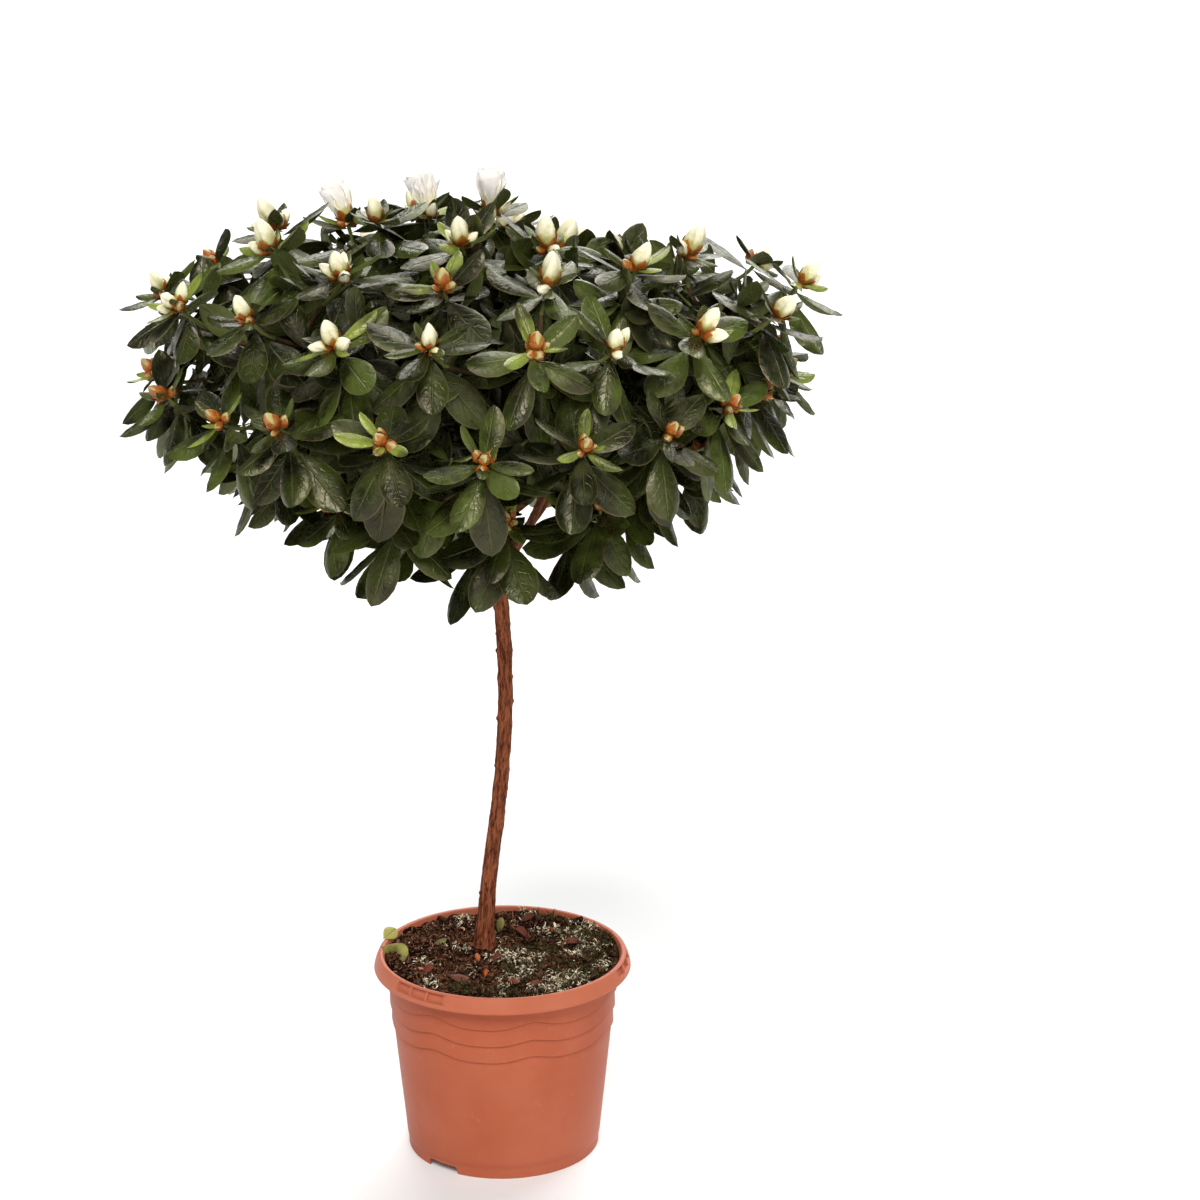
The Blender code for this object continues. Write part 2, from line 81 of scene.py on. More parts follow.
# Pot
POT_HEIGHT = 0.136
POT_WALL = 0.0018
RIM_TOP_RADIUS = 0.0825
RIM_LIP_RADIUS = 0.0855
RIM_DEPTH = 0.0105
SHOULDER_RADIUS = 0.0766
WAIST_RADIUS = 0.0715
WAIST_HEIGHT = 0.073
FOOT_RADIUS = 0.0640
FLOOR_HEIGHT = 0.0060
PAD_RADIUS = 0.018
LEDGE_HEIGHT = 0.0084
DRAIN_HOLES = 6
DRAIN_RADIUS = 0.0045
DRAIN_CIRCLE = 0.042
NOTCH_ANGLES = (math.radians(52), math.radians(232))
NOTCH_WIDTH = 0.024
NOTCH_HEIGHT = 0.0052
NOTCH_DEPTH = 0.012
# Each wave: the height of its cusps and of its bellies. They hang in scallops from cusps at this angle on.
WAVES = ((0.091, 0.087), (0.103, 0.099), (0.116, 0.111))
SCALLOPS = 7
FIRST_CUSP = math.radians(235)
GRIP_ANGLES = (math.radians(231), math.radians(351), math.radians(111))
GRIP_CELLS = 3
GRIP_CELL = math.radians(8.2)
GRIP_RIB = math.radians(1.3)
GRIP_LOW, GRIP_HIGH = 0.1292, 0.1349
POT_COLUMNS = 240
# From these heights up the rim is lightened: painted highlight where the rolled rim catches the light from
# above, with some scuffs.
RIM_SCUFF_AND_HIGHLIGHT_HEIGHTS = (0.122, 0.128)

# Soil
SOIL_EDGE_HEIGHT = 0.1292
SOIL_MIDDLE_HEIGHT = 0.1335
SOIL_ROUGHNESS = 0.0016
SOIL_RADIUS = 0.0779
SOIL_HEAP = 0.0034
SOIL_DEPTH = 0.020
SOIL_COLUMNS = 220
LUMPS_PER_METRE = 60
FOOTHOLD_RADIUS = 0.016
# Leaf litter: place on the soil, compass angle, length, and how far its tip stands up, in metres and degrees.
WITHERED = (
    (-0.0588, -0.0295, 20, 0.008, 18),
    (-0.0102, -0.0447, 80, 0.006, 50),
    (0.0214, -0.0547, 30, 0.007, 25),
    (-0.0150, -0.0200, 100, 0.007, 60),
    (0.0350, 0.0330, 200, 0.005, 25),
    (-0.0300, 0.0430, 300, 0.005, 20),
)
BROWN_LEAVES = (
    (0.0042, -0.0463, 300, 0.012, 20),
    (0.0180, 0.0166, 150, 0.013, 14),
    (0.0549, 0.0155, 200, 0.016, 20),
    (0.0480, 0.0020, 330, 0.012, 26),
    (-0.0509, -0.0413, 60, 0.011, 12),
    (-0.0351, -0.0447, 340, 0.014, 14),
    (-0.0080, -0.0180, 35, 0.010, 10),
    (0.0300, -0.0560, 190, 0.013, 10),
    (-0.0450, 0.0050, 120, 0.009, 12),
    (0.0100, 0.0560, 20, 0.011, 12),
)
GREEN_LEAVES = (
    (-0.0812, 0.0045, 314, 0.023, -2),
    (-0.0806, 0.0175, 48, 0.014, 22),
    (-0.0040, 0.0380, 60, 0.011, 72),
    (-0.0640, -0.0158, 20, 0.010, 12),
    (-0.0470, 0.0140, 10, 0.010, 24),
)

# Trunk
TRUNK_FOOT = Vector((-0.0125, 0.014, SOIL_MIDDLE_HEIGHT + 0.0003))
TRUNK_TOP = Vector((0.0, 0.0, 0.455))
TRUNK_BOW = 0.009
TRUNK_TAPER = ((0.0, 0.0055), (0.3, 0.0049), (0.72, 0.0049), (1.0, 0.0038))
FLARE_RADIUS = 0.0028
FLARE_HEIGHT = 0.011
TRUNK_STEPS = 12
LIMB_STEP = 0.0012

# Head of leaves: an ellipsoid over which the sprays are spread, pushed out or in by lobes.
CROWN_CENTRE = Vector((-0.006, 0.0, 0.540))
CROWN_RADIUS = 0.196
CROWN_RISE = 0.088
CROWN_EDGE = math.radians(152)
# Each lobe: compass angle and angle from the crown's top in degrees, push in metres, spread in degrees.
LOBES = (
    (180, 35, 0.014, 24),
    (182, 78, 0.024, 22),
    (358, 58, 0.026, 18),
    (44, 37, -0.048, 17),
    (345, 94, -0.010, 15),
    (276, 122, 0.026, 24),
    (222, 122, -0.003, 20),
    (324, 118, -0.020, 20),
)

# Sprays and the shoots that carry them
SPRAY_SPACING = 0.061
SPRAY_RING_TURNS = (0.20, 0.70, 0.00, 0.05, 0.35, 0.40)
SPRAY_JITTER = 0.009
SPRAY_OUTWARD = 0.75
SHOOT_LENGTH = 0.024
STEM_RADIUS = 0.0024
TWIG_RADIUS = 0.0018
SHOOT_RADIUS = 0.0013
TWIG_STEP = 0.004
FIRST_FORK = 0.2
SIDE_SHARES = (0.22, 0.38, 0.52, 0.66, 0.80)
SIDE_LENGTHS = (0.020, 0.036)
SIDE_REACH = 0.88
INNER_SHOOTS = 150
INNER_EDGE = math.radians(140)
INNER_REACH = (0.56, 0.84)
INNER_LENGTHS = (0.012, 0.065)
GOLDEN_ANGLE = math.radians(137.5)

# Leaves, from the one next to the bud to the one that hangs lowest. A pair holds both ends.
LEAF_LEANS = (58, 104)
LEAF_PULLS = (0.10, 0.56)
LEAF_SIZES = (0.70, 1.03)
WHORL_DEPTH = 0.019
YOUNG_LEANS = (44, 66)
YOUNG_SIZES = (0.34, 0.62)
SHORT_SPRAYS = (66, 67, 71, 72, 73, 82)
SHORT_SIZE = 0.80

# Buds
BUD_SUNK = 0.06
CREAM_FROM = 0.62
BROWN_FROM = 0.36
# The small buds beside a cream one: how many are half ripe, and their length and width for their size.
HALF_RIPE_SHARE = 0.55
HALF_RIPE_SIZE = (1.7, 0.9)
UNRIPE_SIZE = (1, 0.62)
OPENING = (0, 3, 11)
LATE = (15, 33)
YOUNG = (35, 67, 33)

# Boughs
BOUGH_TIERS = (("top", None), ("upper", 0.436), ("lower", 0.408))
BOUGH_ROOT_STEP = 0.006
BOUGH_RISE = math.radians(28)
BOUGH_SPACING = 0.158
BOUGH_RING_TURNS = (0.75, 0.25)
BOUGH_RADIUS = 0.0030
BOUGH_TIP_RADIUS = 0.0022
BOUGH_REACH = 0.50
HUB_REACH = 0.68
CROWN_HEART = Vector((0.0, 0.0, 0.470))

# Stage
FLOOR_REACH = 150
HORIZON_HEIGHT = 0.16

# Camera
CAMERA_PLACE = (0.065, -2.067, 0.9837)
CAMERA_PITCH = math.radians(16.3)
CAMERA_LENS = 100


# ---------------------------------------------------------------- settings


def colour_setting(name, description, default):
    return FloatVectorProperty(
        name=name, description=description, subtype="COLOR", size=3, min=0, max=1, default=default
    )


def length_setting(name, description, default):
    return FloatProperty(
        name=name, description=description, subtype="DISTANCE", unit="LENGTH", min=0, default=default
    )


def share_setting(name, description, default):
    return FloatProperty(
        name=name, description=description, subtype="FACTOR", min=0, max=1, default=default
    )


class PotSettings(bpy.types.PropertyGroup):
    colour: colour_setting("Plastic", "Colour of the pot's plastic", (0.392, 0.0915, 0.0415))
    # The scuff colour also paints the highlight on the pot's rim.
    scuffed_and_highlight: colour_setting("Scuffs", "Colour of rubbed and dusty plastic", (0.50, 0.155, 0.088))
    roughness: share_setting("Roughness", "Roughness of the moulded plastic", 0.46)
    wave_step: length_setting("Wave step", "How far each wave stands proud of the wall", 0.0011)
    grip_depth: length_setting("Grip depth", "Depth of the grip cells in the rim", 0.0026)


class SoilSettings(bpy.types.PropertyGroup):
    peat: colour_setting("Peat", "Colour of the dark potting soil", (0.008, 0.0036, 0.0018))
    fibre: colour_setting("Fibre", "Colour of the reddish fibres in the soil", (0.165, 0.072, 0.037))
    moss: colour_setting("Moss", "Colour of the moss tufts", (0.100, 0.080, 0.030))
    lichen: colour_setting("Lichen", "Colour of the pale frizzy tufts", (1.0, 0.86, 0.60))
    crumb_spacing: length_setting("Crumb spacing", "Least distance between crumbs of soil", 0.0019)
    tuft_spacing: length_setting("Tuft spacing", "Least distance between tufts", 0.0028)


class BarkSettings(bpy.types.PropertyGroup):
    ridge: colour_setting("Ridges", "Colour of the bark's ridges", (0.350, 0.106, 0.046))
    furrow: colour_setting("Furrows", "Colour of the bark's furrows", (0.060, 0.014, 0.006))
    bough: colour_setting("Boughs", "Colour of the ridges on the boughs' bark", (0.200, 0.082, 0.036))
    relief: share_setting("Relief", "Height of the ridges, as a share of the limb's radius", 0.36)
    twig: colour_setting("Twigs", "Colour of the woody twigs", (0.105, 0.066, 0.030))
    shoot: colour_setting("Shoots", "Colour of this year's shoots", (0.16, 0.175, 0.050))


class LeafSettings(bpy.types.PropertyGroup):
    length: length_setting("Length", "Length of a full-grown leaf", 0.0475)
    width: length_setting("Width", "Width of a full-grown leaf", 0.0235)
    mature: IntProperty(name="Leaves", description="Full-grown leaves on each spray", min=3, default=9)
    young: IntProperty(name="Young leaves", description="Small leaves round each bud", min=0, default=4)
    deep: colour_setting("Deep green", "Colour of most sprays' leaves", (0.0135, 0.0180, 0.0028))
    middle: colour_setting("Middle green", "Colour of the lighter sprays' leaves", (0.0280, 0.0385, 0.0060))
    fresh: colour_setting("Fresh green", "Colour of young leaves", (0.102, 0.126, 0.020))
    vein: colour_setting("Veins", "Colour of the midrib and side veins", (0.12, 0.135, 0.035))
    # A grey coat that is partly dusty and partly painted sheen of the lights on glossy leaves.
    dust_and_sheen: colour_setting("Dust", "Colour of the dull film on old leaves", (0.080, 0.068, 0.036))
    under: colour_setting("Underside", "Colour of a leaf's underside", (0.100, 0.118, 0.034))
    rim: colour_setting("Rim", "Colour of a leaf's thin rim", (0.135, 0.105, 0.040))
    roughness: share_setting("Roughness", "Roughness of the leathery leaf", 0.32)


class BudSettings(bpy.types.PropertyGroup):
    length: length_setting("Length", "Length of a ripe bud", 0.0252)
    width: length_setting("Width", "Width of a ripe bud", 0.0140)
    cream: colour_setting("Petals", "Colour of a bud's tip", (1.0, 0.93, 0.68))
    base: colour_setting("Foot", "Colour of a bud's foot", (0.52, 0.49, 0.11))
    tight: colour_setting("Tight buds", "Colour of the petals in a closed bud", (0.50, 0.42, 0.18))
    bloom: colour_setting("Bloom", "Colour of an open bloom", (1.0, 0.945, 0.885))
    scale: colour_setting("Scales", "Colour of the bud scales", (0.40, 0.100, 0.014))
    scale_tip: colour_setting("Scale tips", "Colour of the scales' tips and sides", (0.60, 0.25, 0.036))


class StageSettings(bpy.types.PropertyGroup):
    floor: colour_setting("Floor", "Colour of the floor", (0.84, 0.84, 0.83))
    # The floor's glow is painted light from a floor that is no lamp.
    glow: FloatProperty(name="Glow", description="Strength of the floor's own light", min=0, default=0.03)
    sky: FloatProperty(name="Sky", description="Strength of the light from all round", min=0, default=0.100)
    key: FloatProperty(name="Key", description="Strength of the main light", min=0, default=2.50)
    fill: FloatProperty(name="Fill", description="Strength of the light from in front", min=0, default=0.75)
    back: FloatProperty(name="Back", description="Strength of the light from behind", min=0, default=3.7)


# ---------------------------------------------------------------- nodes and meshes


def add_node(tree, kind, inputs=None, **settings):
    """Adds a node. Each input is given as a value, or as the socket that feeds it."""
    node = tree.nodes.new(kind)
    for setting, value in settings.items():
        setattr(node, setting, value)
    for label, value in (inputs or {}).items():
        if isinstance(value, bpy.types.NodeSocket):
            tree.links.new(value, node.inputs[label])
        else:
            node.inputs[label].default_value = value
    return node


def maths(tree, operation, *values, clamp=False):
    """The result of a Math node on values or sockets."""
    node = add_node(tree, "ShaderNodeMath", dict(enumerate(values)), operation=operation)
    node.use_clamp = clamp
    return node.outputs[0]


def ramp(tree, value, low, high, to_low=0.0, to_high=1.0):
    """A value eased from one range to another."""
    inputs = {"Value": value, "From Min": low, "From Max": high, "To Min": to_low, "To Max": to_high}
    return add_node(tree, "ShaderNodeMapRange", inputs, interpolation_type="SMOOTHSTEP").outputs[0]


def blended(tree, share, first, second, kind="MIX"):
    """A colour between two, each a colour or a socket."""
    node = add_node(tree, "ShaderNodeMix", data_type="RGBA", blend_type=kind)
    for index, value in ((0, share), (6, first), (7, second)):
        if isinstance(value, bpy.types.NodeSocket):
            tree.links.new(value, node.inputs[index])
        elif index:
            node.inputs[index].default_value = (*value, 1)
        else:
            node.inputs[index].default_value = value
    return node.outputs[2]


def clouds(tree, where, scale, detail=3.0, roughness=0.5):
    """The value of a noise pattern at a place."""
    inputs = {"Vector": where, "Scale": scale, "Detail": detail, "Roughness": roughness}
    return add_node(tree, "ShaderNodeTexNoise", inputs).outputs[0]


def new_material(name, roughness, specular=0.5):
    """A material, its node tree and its shader."""
    made = bpy.data.materials.new(name)
    made.use_nodes = True
    shader = made.node_tree.nodes["Principled BSDF"]
    shader.inputs["Roughness"].default_value = roughness
    shader.inputs["Specular IOR Level"].default_value = specular
    return made, made.node_tree, shader


def wear(tree, shader, colour=None, height=None, distance=0.0005, strength=1.0):
    """Gives the shader its colour and the relief of a height pattern."""
    if colour is not None:
        tree.links.new(colour, shader.inputs["Base Color"])
    if height is not None:
        inputs = {"Height": height, "Distance": distance, "Strength": strength}
        bump = add_node(tree, "ShaderNodeBump", inputs)
        tree.links.new(bump.outputs[0], shader.inputs["Normal"])


def object_place(tree):
    return add_node(tree, "ShaderNodeTexCoord").outputs["Object"]


def named_value(tree, name, kind="FLOAT"):
    """A Geometry Nodes socket with the value of a named attribute."""
    node = add_node(tree, "GeometryNodeInputNamedAttribute", {"Name": name}, data_type=kind)
    return node.outputs["Attribute"]


def new_object(name, mesh):
    made = bpy.data.objects.new(name, mesh)
    bpy.context.scene.collection.objects.link(made)
    return made


def smooth_from(mesh, degrees):
    mesh.shade_smooth()
    mesh.set_sharp_from_angle(angle=math.radians(degrees))


def plain_mesh(shape, name):
    """Turns a bmesh into a mesh."""
    mesh = bpy.data.meshes.new(name)
    shape.to_mesh(mesh)
    shape.free()
    return mesh


def mesh_from(shape, name):
    """Turns a bmesh into a mesh whose faces point out."""
    bmesh.ops.recalc_face_normals(shape, faces=shape.faces)
    return plain_mesh(shape, name)


def mapped_mesh(shape, name, uv, places):
    """Turns a bmesh into a mesh whose UV map has a place for each of its points."""
    for face in shape.faces:
        for loop in face.loops:
            loop[uv].uv = places[loop.vert]
    return plain_mesh(shape, name)


def settle(made):
    """Replaces an object's mesh by what its modifiers make of it."""
    graph = bpy.context.evaluated_depsgraph_get()
    mesh = bpy.data.meshes.new_from_object(made.evaluated_get(graph))
    made.modifiers.clear()
    made.data = mesh
    mesh.name = made.name


def finish_piece(piece, slot, *nodes):
    """Ties a piece to the frame: what carries it, and the solids that it stands for, which are hidden. The
    slot is not used.
    """
    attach(piece, "root")
    if nodes:
        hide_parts(*nodes)
    return piece


def new_tree(name, inputs):
    """A Geometry Nodes tree with its input and output nodes. Each input is given as (name, socket type)."""
    tree = bpy.data.node_groups.new(name, "GeometryNodeTree")
    for label, kind in (("Geometry", "NodeSocketGeometry"), *inputs):
        tree.interface.new_socket(label, in_out="INPUT", socket_type=kind)
    tree.interface.new_socket("Geometry", in_out="OUTPUT", socket_type="NodeSocketGeometry")
    return tree, tree.nodes.new("NodeGroupInput"), tree.nodes.new("NodeGroupOutput")


def run_tree(made, tree, values):
    """Runs a tree on an object with its inputs set by name, and leaves a plain mesh."""
    modifier = made.modifiers.new(tree.name, "NODES")
    modifier.node_group = tree
    for item in tree.interface.items_tree:
        if item.in_out == "INPUT" and item.name in values:
            modifier[item.identifier] = values[item.name]
    settle(made)
    return made


def realised(tree, geometry, given, smooth=True):
    """The end of each tree: shading, Realize Instances, Set Material and the output."""
    shaded = add_node(
        tree, "GeometryNodeSetShadeSmooth", {"Geometry": geometry, "Shade Smooth": smooth}
    )
    real = add_node(tree, "GeometryNodeRealizeInstances", {"Geometry": shaded.outputs[0]})
    inputs = {"Geometry": real.outputs[0], "Material": given.outputs["Material"]}
    return add_node(tree, "GeometryNodeSetMaterial", inputs).outputs[0]


# ---------------------------------------------------------------- trees


def shapes_in(tree, socket):
    """The shapes of a collection, to pick from."""
    inputs = {"Collection": socket, "Separate Children": True, "Reset Children": True}
    return add_node(tree, "GeometryNodeCollectionInfo", inputs).outputs[0]


def placed_tree():
    """Sets one of a collection's shapes on each point, turned and sized by the point's attributes."""
    name = "placed shapes"
    if name in bpy.data.node_groups:
        return bpy.data.node_groups[name]
    inputs = (("Shapes", "NodeSocketCollection"), ("Material", "NodeSocketMaterial"))
    tree, given, out = new_tree(name, inputs)
    turn = add_node(tree, "FunctionNodeEulerToRotation", {0: named_value(tree, "turn", "FLOAT_VECTOR")})
    inputs = {
        "Points": given.outputs["Geometry"],
        "Instance": shapes_in(tree, given.outputs["Shapes"]),
        "Pick Instance": True,
        "Instance Index": named_value(tree, "pick", "INT"),
        "Rotation": turn.outputs[0],
        "Scale": named_value(tree, "size", "FLOAT_VECTOR"),
    }
    placed = add_node(tree, "GeometryNodeInstanceOnPoints", inputs)
    tree.links.new(realised(tree, placed.outputs[0], given), out.inputs[0])
    return tree


def strewn_tree():
    """Strews a collection's shapes over a surface, where the named attribute lets them lie."""
    name = "strewn shapes"
    if name in bpy.data.node_groups:
        return bpy.data.node_groups[name]
    inputs = (
        ("Shapes", "NodeSocketCollection"),
        ("Material", "NodeSocketMaterial"),
        ("Where", "NodeSocketString"),
        ("Spacing", "NodeSocketFloat"),
        ("Smallest", "NodeSocketFloat"),
        ("Largest", "NodeSocketFloat"),
        ("Tilt", "NodeSocketFloat"),
        ("Seed", "NodeSocketInt"),
    )
    tree, given, out = new_tree(name, inputs)
    held = given.outputs
    where = add_node(
        tree, "GeometryNodeInputNamedAttribute", {"Name": held["Where"]}, data_type="FLOAT"
    )
    inputs = {
        "Mesh": held["Geometry"],
        "Distance Min": held["Spacing"],
        "Density Max": 400000.0,
        "Density Factor": where.outputs["Attribute"],
        "Seed": held["Seed"],
    }
    spread = add_node(
        tree, "GeometryNodeDistributePointsOnFaces", inputs, distribute_method="POISSON"
    )
    tilt = held["Tilt"]
    back = maths(tree, "MULTIPLY", tilt, -1.0)
    low = add_node(tree, "ShaderNodeCombineXYZ", {0: back, 1: back, 2: -math.pi})
    high = add_node(tree, "ShaderNodeCombineXYZ", {0: tilt, 1: tilt, 2: math.pi})
    inputs = {0: low.outputs[0], 1: high.outputs[0], "Seed": held["Seed"]}
    euler = add_node(tree, "FunctionNodeRandomValue", inputs, data_type="FLOAT_VECTOR")
    turn = add_node(tree, "FunctionNodeEulerToRotation", {0: euler.outputs[0]})
    sized = add_node(
        tree,
        "FunctionNodeRandomValue",
        {2: held["Smallest"], 3: held["Largest"], "Seed": maths(tree, "ADD", held["Seed"], 7)},
        data_type="FLOAT",
    )
    inputs = {
        "Points": spread.outputs[0],
        "Instance": shapes_in(tree, held["Shapes"]),
        "Pick Instance": True,
        "Rotation": turn.outputs[0],
        "Scale": sized.outputs[1],
    }
    placed = add_node(tree, "GeometryNodeInstanceOnPoints", inputs)
    tree.links.new(realised(tree, placed.outputs[0], given), out.inputs[0])
    return tree


def limb_tree():
    """Grows a limb along each line of edges: round, as thick as its points say, and ridged lengthways."""
    name = "limbs along lines"
    if name in bpy.data.node_groups:
        return bpy.data.node_groups[name]
    inputs = (
        ("Material", "NodeSocketMaterial"),
        ("Sides", "NodeSocketInt"),
        ("Relief", "NodeSocketFloat"),
        ("Grain", "NodeSocketFloat"),
        ("Stretch", "NodeSocketFloat"),
    )
    tree, given, out = new_tree(name, inputs)
    held = given.outputs
    curve = add_node(tree, "GeometryNodeMeshToCurve", {"Mesh": held["Geometry"]})
    circle = add_node(
        tree, "GeometryNodeCurvePrimitiveCircle", {"Resolution": held["Sides"], "Radius": 1.0}
    )
    place = add_node(tree, "GeometryNodeInputPosition")
    inputs = {"Geometry": circle.outputs[0], "Name": "round", "Value": place.outputs[0]}
    outline = add_node(tree, "GeometryNodeStoreNamedAttribute", inputs, data_type="FLOAT_VECTOR")
    inputs = {
        "Curve": curve.outputs[0],
        "Profile Curve": outline.outputs[0],
        "Scale": named_value(tree, "thickness"),
        "Fill Caps": True,
    }
    tube = add_node(tree, "GeometryNodeCurveToMesh", inputs)
    across = add_node(
        tree,
        "ShaderNodeVectorMath",
        {0: named_value(tree, "round", "FLOAT_VECTOR"), "Scale": named_value(tree, "thickness")},
        operation="SCALE",
    )
    along = add_node(tree, "ShaderNodeCombineXYZ", {2: named_value(tree, "along")})
    grain = add_node(tree, "ShaderNodeVectorMath", {0: across.outputs[0], 1: along.outputs[0]})
    inputs = {"Geometry": tube.outputs[0], "Name": "grain", "Value": grain.outputs[0]}
    kept = add_node(tree, "GeometryNodeStoreNamedAttribute", inputs, data_type="FLOAT_VECTOR")
    own = named_value(tree, "grain", "FLOAT_VECTOR")
    squeeze = add_node(tree, "ShaderNodeCombineXYZ", {0: 1.0, 1: 1.0, 2: held["Stretch"]})
    drawn = add_node(
        tree, "ShaderNodeVectorMath", {0: own, 1: squeeze.outputs[0]}, operation="MULTIPLY"
    )
    fine = clouds(tree, drawn.outputs[0], held["Grain"], 5.0, 0.6)
    broad = clouds(tree, own, maths(tree, "MULTIPLY", held["Grain"], 0.22), 2.0)
    lumps = clouds(tree, own, maths(tree, "MULTIPLY", held["Grain"], 0.4), 1.0)
    knots = ramp(tree, lumps, 0.62, 0.78, 0.0, 0.6)
    height = maths(tree, "ADD", maths(tree, "SUBTRACT", fine, 0.5), maths(tree, "SUBTRACT", broad, 0.5))
    height = maths(tree, "ADD", height, knots)
    height = maths(tree, "MULTIPLY", height, held["Relief"])
    height = maths(tree, "MULTIPLY", height, named_value(tree, "thickness"))
    normal = add_node(tree, "GeometryNodeInputNormal")
    offset = add_node(
        tree, "ShaderNodeVectorMath", {0: normal.outputs[0], "Scale": height}, operation="SCALE"
    )
    inputs = {"Geometry": kept.outputs[0], "Offset": offset.outputs[0]}
    rough = add_node(tree, "GeometryNodeSetPosition", inputs)
    tree.links.new(realised(tree, rough.outputs[0], given), out.inputs[0])
    return tree


class Placed:
    """One shape on its point: which of the shapes, where, how turned and how large."""

    def __init__(self, root, way, face, length, width, pick=0, roll=0.0, depth=None):
        side = way.cross(face).normalized()
        face = side.cross(way).normalized()
        turn = Matrix((side, way, face)).transposed() @ Matrix.Rotation(roll, 3, "Y")
        self.root = root
        self.turn = turn.to_euler()
        self.size = (width, length, depth or length)
        self.pick = pick


def shapes_collection(name, meshes):
    """A loose collection that holds one object for each shape, in order."""
    held = bpy.data.collections.new(name)
    for number, mesh in enumerate(meshes):
        held.objects.link(bpy.data.objects.new(f"{name}_{number:02d}", mesh))
    return held


def clear_shapes(held):
    for shape in list(held.objects):
        bpy.data.objects.remove(shape)
    bpy.data.collections.remove(held)


def set_out(name, placed, meshes, material):
    """One piece with a shape on each point."""
    points = bpy.data.meshes.new(name)
    points.from_pydata([one.root for one in placed], [], [])
    for label, kind, field, values in (
        ("turn", "FLOAT_VECTOR", "vector", [one.turn for one in placed]),
        ("size", "FLOAT_VECTOR", "vector", [one.size for one in placed]),
        ("pick", "INT", "value", [one.pick % len(meshes) for one in placed]),
    ):
        attribute = points.attributes.new(label, kind, "POINT")
        attribute.data.foreach_set(field, np.array(values).ravel())
    held = shapes_collection(name + "_shapes", meshes)
    piece = new_object(name, points)
    run_tree(piece, placed_tree(), {"Shapes": held, "Material": material})
    clear_shapes(held)
    return piece


def grow_limbs(name, limbs, material, sides, relief, grain, stretch):
    """One piece with a limb along each (points, radii)."""
    places, edges, thickness, along = [], [], [], []
    for number, (points, radii) in enumerate(limbs):
        walked = 0.37 * number
        for k, (point, radius) in enumerate(zip(points, radii)):
            if k:
                walked += (point - points[k - 1]).length
                edges.append((len(places) - 1, len(places)))
            places.append(point)
            thickness.append(radius)
            along.append(walked)
    lines = bpy.data.meshes.new(name)
    lines.from_pydata(places, edges, [])
    for label, values in (("thickness", thickness), ("along", along)):
        lines.attributes.new(label, "FLOAT", "POINT").data.foreach_set("value", values)
    values = {
        "Material": material,
        "Sides": sides,
        "Relief": relief,
        "Grain": grain,
        "Stretch": stretch,
    }
    return run_tree(new_object(name, lines), limb_tree(), values)


# ---------------------------------------------------------------- pot


def wall_radius(height):
    """The pot's outer radius under its rim."""
    if height > WAIST_HEIGHT:
        share = (height - WAIST_HEIGHT) / (POT_HEIGHT - RIM_DEPTH - WAIST_HEIGHT)
        return WAIST_RADIUS + share * (SHOULDER_RADIUS - WAIST_RADIUS)
    return FOOT_RADIUS + height / WAIST_HEIGHT * (WAIST_RADIUS - FOOT_RADIUS)


def wave_height(wave, angle):
    """The height of a wave's line: it hangs between cusps."""
    cusp, belly = wave
    share = (angle - FIRST_CUSP) * SCALLOPS / math.tau % 1.0
    rise = abs(2 * share - 1) ** 1.7
    return belly + (cusp - belly) * rise * rise * (3 - 2 * rise)


def grip_depth(angle, height, depth):
    """How far the rim is pressed in at a place: cells side by side, with ribs between them."""
    if not GRIP_LOW <= height <= GRIP_HIGH:
        return 0.0
    pitch = GRIP_CELL + GRIP_RIB
    for middle in GRIP_ANGLES:
        from_start = (angle - middle + GRIP_CELLS * pitch / 2 + math.pi) % math.tau - math.pi
        if 0 <= from_start < GRIP_CELLS * pitch:
            return depth if from_start % pitch < GRIP_CELL else 0.25 * depth
    return 0.0


def pot_columns():
    """The compass angles of the pot's columns of points, with pairs at the edges of the grip cells."""
    angles = {round(math.tau * k / POT_COLUMNS, 5) for k in range(POT_COLUMNS)}
    pitch = GRIP_CELL + GRIP_RIB
    for middle in GRIP_ANGLES:
        start = middle - GRIP_CELLS * pitch / 2
        for cell in range(GRIP_CELLS):
            for edge in (start + cell * pitch, start + cell * pitch + GRIP_CELL):
                angles |= {round((edge + side) % math.tau, 5) for side in (-0.0016, 0.0016)}
    return sorted(angles)


